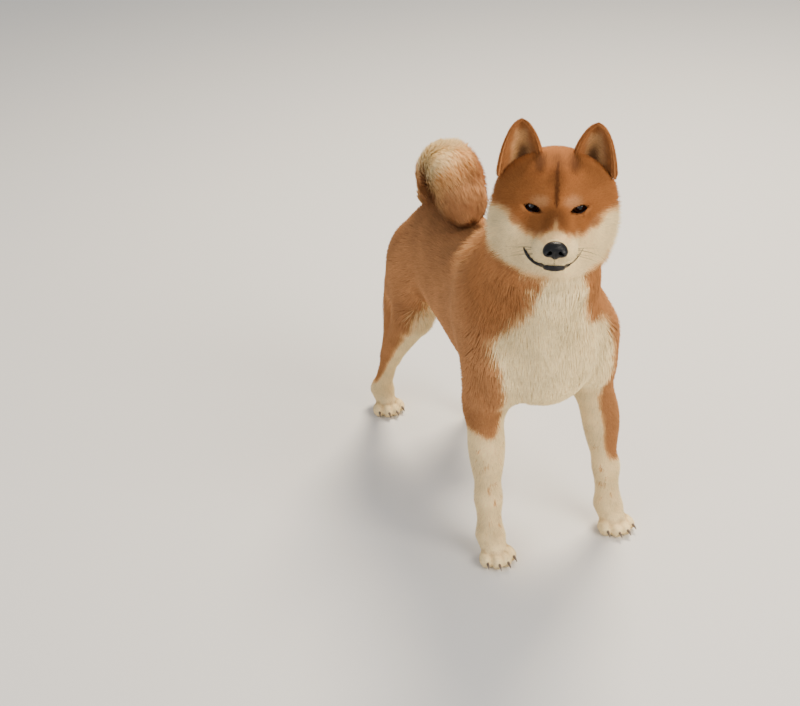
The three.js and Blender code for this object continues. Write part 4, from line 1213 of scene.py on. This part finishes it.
x, y, border = roots[:, 0], roots[:, 1], coatBorders
fore = (roots[:, 2] < border["legTop"]) & (y < 0)
hind = (roots[:, 2] < border["legTop"]) & (y >= 0)
coatPieces = {
    # where each piece of the coat stands (a later one wins), how its map is unrolled, and its slot
    "coat_belly": [np.ones(len(roots), bool), unwrapTrunk, "cream_coat"],
    "coat_chest": [y < border["chest"], unwrapTrunk, "red_coat"],
    "coat_rump": [y > border["rump"], unwrapTrunk, "red_coat"],
    "coat_neck": [rootWhere["neck"] > 0.5, unwrapNeck, "red_coat"],
    "coat_foreleg_left": [fore & (x > border["foreMiddle"]), unwrapLeg(foreLegs["left"]), "cream_coat"],
    "coat_foreleg_right": [fore & (x <= border["foreMiddle"]), unwrapLeg(foreLegs["right"]), "cream_coat"],
    "coat_hindleg_left": [hind & (x > border["hindMiddle"]), unwrapLeg(hindLegs["left"]), "cream_coat"],
    "coat_hindleg_right": [hind & (x <= border["hindMiddle"]), unwrapLeg(hindLegs["right"]), "cream_coat"],
    "coat_head_left": [onHead & (h[:, 0] > 0), unwrapHead, "red_coat"],
    "coat_head_right": [onHead & (h[:, 0] <= 0), unwrapHead, "red_coat"],
}
pieceOf = np.full(len(roots), "", "U20")
for name, (here, _, _) in coatPieces.items():
    pieceOf[here] = name
furMaterial = coatMaterial("guard_hair_tufts", 0.04)


def masksOf(pick):
    return {"red": rootRed[pick], "darkHairAndShade": rootDark[pick], "tone": tone[pick]}


for name, (_, unwrap, slot) in coatPieces.items():
    pick = np.flatnonzero(onBody & (pieceOf == name))
    base, n, way = roots[pick], rootWays[pick], lie[pick]
    reach, high = length[pick][:, None], rise[pick]
    mids = None
    if "head" not in name and "leg" not in name:
        middle = base + way * reach * 0.45 + clump[pick] * 0.3 + n * (high * 0.5)[:, None]
        mids = atHeight(middle, n, high * 0.62)
    tips = atHeight(base + way * reach + clump[pick] + n * high[:, None], n, high)
    tips[:, 2] = np.maximum(tips[:, 2], bladeSizes["floor"]["tip"])
    piece = tuftMesh(name, base, mids, tips, n, width[pick], masksOf(pick), unwrap(base))
    finishPiece(piece, furMaterial)
    print(name, len(pick), "tufts")


# Tail: long tufts that rise from the core out to the brush's full width
tailTufts = {"length": 40, "width": 2.3, "atRoot": 0.45, "grown": 0.22, "soft": 0.35}
pick = np.flatnonzero(tailRoot)
base, n = roots[pick], rootWays[pick]
there = alongTail(base)
grown = tailTufts["atRoot"] + (1 - tailTufts["atRoot"]) * smooth(0, tailTufts["grown"], there["share"])
reach = tailTufts["length"] * (1 + 0.15 * rng.standard_normal(len(pick)).clip(-1.5, 1.5)) * grown
rough = grain(base, 16, 31)
tips = base + there["way"] * (reach * (0.9 + 0.1 * rough))[:, None]
atTip = alongTail(tips)
wanted = atTip["radius"] * (0.93 + 0.12 * rng.random(len(pick)) + 0.09 * rough)
tips = atTip["centre"] + unit(tips - atTip["centre"] + 1e-6) * wanted[:, None]
mids = base * 0.52 + tips * 0.48 + n * (reach * 0.09)[:, None]
widths = np.full(len(pick), tailTufts["width"])
piece = tuftMesh("coat_tail", base, mids, tips, n, widths, masksOf(pick), unwrapTail(base), tailTufts["soft"])
finishPiece(piece, furMaterial)
print("coat_tail", len(pick), "tufts")


# Fur of the ears: short outside, a longer pale fringe inside
earFur = {
    "outer": {"count": 7000, "length": 6.5, "width": 0.85, "rise": 1.6, "from": 0.0},
    "inner": {"count": 5200, "length": 7.0, "width": 0.75, "rise": 1.4, "from": 0.05},
    "rim": {"count": 4200, "length": 5.0, "width": 0.7, "rise": 2.3, "from": 0.0},
}
earSoft = 0.3
for side, name in ((1, "coat_ear_left"), (-1, "coat_ear_right")):
    made = []
    for face, sizes in earFur.items():
        count = sizes["count"]
        t = np.clip(rng.random(count) ** 1.25, sizes["from"], 0.985)
        angle = rng.uniform(-1, 1, count)
        angle = np.sign(angle) * np.abs(angle) ** 0.8 * np.pi / 2
        if face == "rim":
            t = 1 - (1 - rng.random(count)) ** 1.5 * 0.999
            angle = np.sign(angle) * np.pi / 2 * (1 - 0.07 * rng.random(count))
        inner = rng.random(count) if face == "rim" else np.full(count, 0.0 if face == "outer" else 1.0)
        point, way, toTip = earFrame(side, t, angle, inner)
        if face == "rim":
            way = unit(earPoint(side, t, angle, inner) - earPoint(side, t, angle * 0.8, inner) + toTip * 0.3)
            way = flattened(way, toTip)
        red, darkHairAndShade, bare = earMarkings(t, angle, inner, point)
        toMiddle = unit(earPoint(side, t, angle * 0.6, inner) - point)
        lieHere = toTip if face == "outer" else unit(toTip + toMiddle * 0.55)
        lieHere = turned(lieHere, way, 0.25 * rng.standard_normal(count))
        reach = sizes["length"] * (1.15 - 0.55 * t) * (1 + 0.2 * rng.standard_normal(count).clip(-1.5, 1.5))
        point = point - way * 0.6
        risen = sizes["rise"] * (0.9 + 0.4 * rng.random(count))
        tips = point + lieHere * reach[:, None] + way * risen[:, None]
        place = np.stack([(angle / np.pi + 0.5) * 0.47 + 0.5 * inner, t], axis=1)
        tones = np.clip(0.5 * rng.standard_normal(count), -1, 1)
        made.append((point, tips, way, np.full(count, sizes["width"]), red, darkHairAndShade, tones, place))
    point, tips, way, wide, red, darkHairAndShade, tones, place = (np.concatenate(part) for part in zip(*made))
    masks = {"red": red, "darkHairAndShade": darkHairAndShade, "tone": tones}
    finishPiece(tuftMesh(name, point, None, tips, way, wide, masks, place, earSoft), furMaterial)
print("ears furred")


# Eyes: balls set back between the lids, dark brown with a black pupil
eyeSizes = {"pupil": 0.36, "iris": 0.80, "pupilHex": "#050404", "irisHex": "#3a1d0e", "rimHex": "#0d0807",
            "whiteHex": "#8d7c70", "lidHex": "#120c0b", "lidTube": 1.3, "bulge": 0.045, "whole": 0.95,
            "rows": 40, "columns": 48}
eyeMaterial, tree = newMaterial("wet_cornea_over_brown_iris")    # sharp window-like highlights
pupilEdge, irisEdge = eyeSizes["pupil"], eyeSizes["iris"]
stops = [(0, "pupilHex"), (pupilEdge, "pupilHex"), (pupilEdge + 0.06, "irisHex"), (irisEdge - 0.08, "irisHex"),
         (irisEdge, "rimHex"), (irisEdge + 0.12, "whiteHex")]
rings = rampOf(tree, attributeOf(tree, "iris"), [[position, eyeSizes[key]] for position, key in stops])
finishMaterial(tree, rings, {"Roughness": 0.06, "IOR": 1.376, "Coat Weight": 1.0, "Coat Roughness": 0.02})
lidMaterial, tree = newMaterial("wet_dark_lid_rim")    # black skin with a thin tear film
tearFilm = {"Roughness": 0.32, "Coat Weight": 0.3, "Coat Roughness": 0.15}
finishMaterial(tree, colour(eyeSizes["lidHex"]), tearFilm)


def gridQuads(rows, columns):
    # faces of a grid closed round its rows
    a = np.arange(rows * columns).reshape(rows, columns)
    b = np.roll(a, -1, axis=1)
    return np.stack([a[:-1], b[:-1], b[1:], a[1:]], axis=-1).reshape(-1, 4)


def tubeAlong(line, sizes, normals, flat=1.0, around=10):
    # closed tube along a line of points; sizes are its half widths, flat its height share along the normals
    way = unit(np.gradient(line, axis=0))
    side = unit(np.cross(way, normals))
    up = unit(np.cross(side, way))
    turn = np.linspace(0, 2 * np.pi, around, endpoint=False)
    ring = side[:, None] * np.cos(turn)[None, :, None] + up[:, None] * np.sin(turn)[None, :, None] * flat
    points = line[:, None] + ring * np.asarray(sizes)[:, None, None]
    quads = gridQuads(len(line), around)[:, ::-1]
    ends = []
    last = (len(line) - 1) * around
    for k in range(1, around - 1, 2):
        ends.append([0, k, k + 1, min(k + 2, around - 1)])
        ends.append([last, last + min(k + 2, around - 1), last + k + 1, last + k])
    ends = [end for end in ends if len(set(end)) == 4]
    return points.reshape(-1, 3), np.vstack([quads, np.array(ends)])


for side, name in ((1, "left"), (-1, "right")):
    rows, columns, eye, gaze = eyeSizes["rows"], eyeSizes["columns"], eyeCentre(side), lidFrame(side)
    bend = np.linspace(0, np.pi, rows)[:, None]
    turn = np.linspace(0, 2 * np.pi, columns, endpoint=False)[None]
    ball = [np.sin(bend) * np.cos(turn), -np.cos(bend) + 0 * turn, np.sin(bend) * np.sin(turn)]
    # the cornea stands a little forward
    bulge = 1 + eyeSizes["bulge"] * smooth(0.75, 0.2, bend / (np.pi / 2))
    ball = np.stack(ball, axis=-1) * eyeRadius * bulge[..., None]
    points = fromHead(eye + ball.reshape(-1, 3) @ gaze.T)
    masks = {"iris": np.repeat(bend.ravel() / eyeSizes["whole"], columns)}
    piece = makeMesh("eyeball_" + name, points, gridQuads(rows, columns), masks)
    finishPiece(piece, eyeMaterial, ["eye_" + name])
    # the lid's rim runs round the opening, thicker above and at the corners
    half = lidSizes["width"] / 2
    u = half * np.sin(np.linspace(-np.pi / 2, np.pi / 2, 30))
    w = almond(u)
    upper, under = (np.stack([u, -np.sqrt(lidSizes["radius"] ** 2 - u ** 2 - w ** 2) + 0.5, w * across], axis=1)
                    for across in (1, -1))
    loop = np.vstack([upper, under[::-1][1:-1], upper[:1]])
    line = fromHead(eye + loop @ gaze.T)
    tube = eyeSizes["lidTube"] * (0.8 + 0.3 * (loop[:, 2] > 0) + 0.25 * (np.abs(loop[:, 0]) > half * 0.8))
    points, quads = tubeAlong(line, tube, unit(line - fromHead(eye)))
    finishPiece(makeMesh("lid_rim_" + name, points, quads), lidMaterial)
print("eyes made")


# Nose leather with comma nostrils
noseSizes = {
    # centre and half sizes of the leather's lumps, ends and radii of the nostrils' hollows
    "tip": [[0, -62, -25], [12.6, 8.2, 8.6]], "wing": [[7.4, -65.0, -27.5], [6.3, 6.6, 5.6]],
    "foot": [[0, -64, -31], [4.2, 6, 5]], "soft": 3,
    "nostril": [[5.0, -74, -26.6], [6.4, -66, -26.8], 2.3, 1.9],
    "slit": [[6.4, -72, -27.6], [12.5, -66, -29.8], 1.5, 0.9],
    "step": 0.6, "pebbleMm": 1.1, "hex": "#040405", "sheenHex": "#0e0f13",
}


def noseShape(h):
    x = np.abs(h[:, 0])
    q = np.stack([x, h[:, 1], h[:, 2]], axis=1)
    value = merged(noseSizes["soft"], [lump(*noseSizes[key])(q) for key in ("tip", "wing", "foot")])
    nostril = np.minimum(*[limb(*noseSizes[key])(q) for key in ("nostril", "slit")])
    groove = 0.7 * smooth(1.3, 0.2, x) * smooth(-24, -29, h[:, 2]) * smooth(-64, -68, h[:, 1])
    return np.maximum(value, -nostril) + groove


points, quads = surfaceOf(noseShape, [-18, -77, -42], [18, -50, -12], noseSizes["step"])
noseMaterial, tree = newMaterial("damp_nose_leather")    # dark pebbled skin with a broad damp sheen
place = addNode(tree, "ShaderNodeTexCoord").outputs["Object"]
pebbles = addNode(tree, "ShaderNodeTexVoronoi", {"feature": "F1"}, {"Scale": 1000 / noseSizes["pebbleMm"]},
                  {"Vector": place})
tint = mixColours(tree, pebbles.outputs["Distance"], colour(noseSizes["sheenHex"]), colour(noseSizes["hex"]))
bump = addNode(tree, "ShaderNodeBump", {"invert": True}, {"Strength": 0.5, "Distance": 0.0003},
               {"Height": pebbles.outputs["Distance"]})
finishMaterial(tree, tint, {"Roughness": 0.34, "Specular IOR Level": 0.3}, bump.outputs[0])
finishPiece(makeMesh("nose_leather", fromHead(points), quads), noseMaterial, ["nose"])

lipMaterial, tree = newMaterial("dark_lip_skin")    # satin black-brown skin
finishMaterial(tree, colour(lipSizes["hex"]), {"Roughness": 0.5, "Specular IOR Level": 0.3})
philtrum = snapTo(headSkin, roundCurve(lipSizes["philtrum"], 12))
philtrumOut = unit(slopeOf(headSkin, philtrum))
tubes = {
    # line, half widths, outward directions, flatness and corners around
    "lip_line": [mouthLine + mouthOut * 1.3, along(lipSizes["width"], mouthShare), mouthOut, 0.6, 10],
    "lower_lip": [lowerLine, lowerHalf, mouthOut[lowerPart], 0.7, 16],
    "philtrum": [philtrum + philtrumOut * 0.2, np.linspace(1.1, 0.8, 12), philtrumOut, 0.6, 10],
}
for name, tube in tubes.items():
    points, quads = tubeAlong(*tube)
    finishPiece(makeMesh(name, fromHead(points), quads), lipMaterial)
print("nose and mouth made")


# Claws: short curved horn, one copied to each toe by Geometry Nodes
clawSizes = {"length": 0.0088, "thickness": 0.27, "inToe": 2.2, "height": 1.2, "layerMm": 2.5,
             "hex": "#4a3d33", "tipHex": "#7d6b5a",
             "curve": {"Start": (0, 0.25, 0.0), "Middle": (0, -0.55, 0.2), "End": (0, -1.0, -0.5)}}
clawMaterial, tree = newMaterial("claw_horn")    # smooth dark keratin, paler where it is worn thin
layers = noiseOf(tree, clawSizes["layerMm"], 2)
tint = mixColours(tree, layers, colour(clawSizes["hex"]), colour(clawSizes["tipHex"]))
finishMaterial(tree, tint, {"Roughness": 0.35, "IOR": 1.54})
tree = bpy.data.node_groups.new("claws", "GeometryNodeTree")
tree.interface.new_socket("Toes", in_out="INPUT", socket_type="NodeSocketGeometry")
sockets = {key: tree.interface.new_socket(key, in_out="INPUT", socket_type="NodeSocketFloat").identifier
           for key in ("Length", "Thickness")}
tree.interface.new_socket("Claws", in_out="OUTPUT", socket_type="NodeSocketGeometry")
given = addNode(tree, "NodeGroupInput")
curve = addNode(tree, "GeometryNodeCurveQuadraticBezier", inputs=dict(clawSizes["curve"], Resolution=9))
share = addNode(tree, "GeometryNodeSplineParameter")
left = addNode(tree, "ShaderNodeMath", {"operation": "SUBTRACT"}, {0: 1.0}, {1: share.outputs["Factor"]})
taper = addNode(tree, "ShaderNodeMath", {"operation": "POWER"}, {1: 0.6}, {0: left.outputs[0]})
radius = addNode(tree, "ShaderNodeMath", {"operation": "MULTIPLY"},
                 links={0: taper.outputs[0], 1: given.outputs["Thickness"]})
ring = addNode(tree, "GeometryNodeCurvePrimitiveCircle", inputs={"Resolution": 10, "Radius": 1.0})
horn = addNode(tree, "GeometryNodeCurveToMesh", inputs={"Fill Caps": True},
               links={"Curve": curve.outputs[0], "Profile Curve": ring.outputs[0], "Scale": radius.outputs[0]})
turn = addNode(tree, "GeometryNodeInputNamedAttribute", {"data_type": "FLOAT_VECTOR"}, {"Name": "turn"})
copies = addNode(tree, "GeometryNodeInstanceOnPoints", links={
    "Points": given.outputs["Toes"], "Instance": horn.outputs[0], "Rotation": turn.outputs["Attribute"],
    "Scale": given.outputs["Length"]})
real = addNode(tree, "GeometryNodeRealizeInstances", links={"Geometry": copies.outputs[0]})
smoothed = addNode(tree, "GeometryNodeSetShadeSmooth", links={"Geometry": real.outputs[0]})
painted = addNode(tree, "GeometryNodeSetMaterial", links={"Geometry": smoothed.outputs[0]})
painted.inputs["Material"].default_value = clawMaterial
addNode(tree, "NodeGroupOutput", links={"Claws": painted.outputs[0]})
toeEnds, toeTurns = [], []
for paw, outward in paws:
    for centre, turn in toePlaces(paw, outward):
        ahead = toeSizes["size"][1] - clawSizes["inToe"]
        toeEnds.append(centre + [math.sin(turn) * ahead, -math.cos(turn) * ahead, clawSizes["height"]])
        toeTurns.append([0, 0, turn])
base = makeMesh("toe_ends", np.array(toeEnds), np.zeros((0, 3), int))
layer = base.data.attributes.new("turn", "FLOAT_VECTOR", "POINT")
layer.data.foreach_set("vector", np.array(toeTurns, np.float32).ravel())
grown = base.modifiers.new("claws", "NODES")
grown.node_group = tree
grown[sockets["Length"]] = clawSizes["length"]
grown[sockets["Thickness"]] = clawSizes["thickness"]
evaluated = base.evaluated_get(bpy.context.evaluated_depsgraph_get())
clawMesh = bpy.data.meshes.new_from_object(evaluated)
claws = bpy.data.objects.new("claws", clawMesh)
bpy.context.scene.collection.objects.link(claws)
bpy.data.objects.remove(base)
clawMesh.materials.clear()
finishPiece(claws, clawMaterial)
print("claws:", len(clawMesh.polygons), "faces")

# Whiskers: a few stiff hairs from each side of the muzzle
whiskerSizes = {"rows": [[20, -44, -31], [23, -38, -33], [24, -33, -37], [22, -42, -38], [21, -48, -36]],
                "length": 34, "radius": 0.22, "droop": [0, 0.22, -0.2], "points": 9, "hex": "#2a211c"}
whiskerMaterial, tree = newMaterial("whisker_hair")    # smooth dark bristle
finishMaterial(tree, colour(whiskerSizes["hex"]), {"Roughness": 0.45})
allPoints, allFaces, count = [], [], 0
for side in (1, -1):
    for x, y, z in whiskerSizes["rows"]:
        start = snapTo(headSkin, np.array([[x * side, y, z]]))[0]
        reach = whiskerSizes["length"] * rng.uniform(0.75, 1.1)
        way = unit(np.array([side * rng.uniform(0.8, 1.0), rng.uniform(0.1, 0.5), rng.uniform(-0.25, 0.1)]))
        t = np.linspace(0, 1, whiskerSizes["points"])[:, None]
        line = start + way * reach * t + np.array(whiskerSizes["droop"]) * reach * t ** 2
        upwards = np.tile([0, 0, 1.0], (len(t), 1))
        points, faces = tubeAlong(line, whiskerSizes["radius"] * (1.05 - t.ravel()), upwards, 1, 6)
        allPoints.append(fromHead(points))
        allFaces.append(faces + count)
        count += len(points)
finishPiece(makeMesh("whiskers", np.vstack(allPoints), np.vstack(allFaces)), whiskerMaterial)
print("whiskers made")


# Floor and light
floorMaterial, floorTree = newMaterial("matt_painted_floor")
finishMaterial(floorTree, colour("#dcdad6"), {"Roughness": 0.8})
floorMesh = bpy.data.meshes.new("floor")
floorMesh.from_pydata([(-9, -9, 0), (9, -9, 0), (9, 9, 0), (-9, 9, 0)], [], [(0, 1, 2, 3)])
floor = bpy.data.objects.new("floor", floorMesh)
bpy.context.scene.collection.objects.link(floor)
floorMesh.materials.append(floorMaterial)

lightSizes = {
    "key": {"place": [1.0, 1.0, 2.3], "size": 1.0, "watts": 115, "tint": "#fff0d8"},
    "front": {"place": [0.9, -2.2, 1.7], "size": 1.8, "watts": 80, "tint": "#fff6ea"},
    "fill": {"place": [-2.2, -1.2, 1.2], "size": 2.2, "watts": 22, "tint": "#f2f5ff"},
}
lightTarget = Vector((0, -0.05, 0.3))
sky = {"Color": colour("#e9edf2"), "Strength": 0.6}
for name, light in lightSizes.items():
    data = bpy.data.lights.new(name, "AREA")
    data.shape = "DISK"
    data.size = light["size"]
    data.energy = light["watts"]
    data.color = colour(light["tint"])[:3]
    lamp = bpy.data.objects.new(name, data)
    lamp.location = light["place"]
    lamp.rotation_euler = (Vector(light["place"]) - lightTarget).to_track_quat("Z", "Y").to_euler()
    bpy.context.scene.collection.objects.link(lamp)
world = bpy.data.worlds.new("studio")
bpy.context.scene.world = world
world.use_nodes = True
for key, value in sky.items():
    world.node_tree.nodes["Background"].inputs[key].default_value = value
print("floor and lights set")
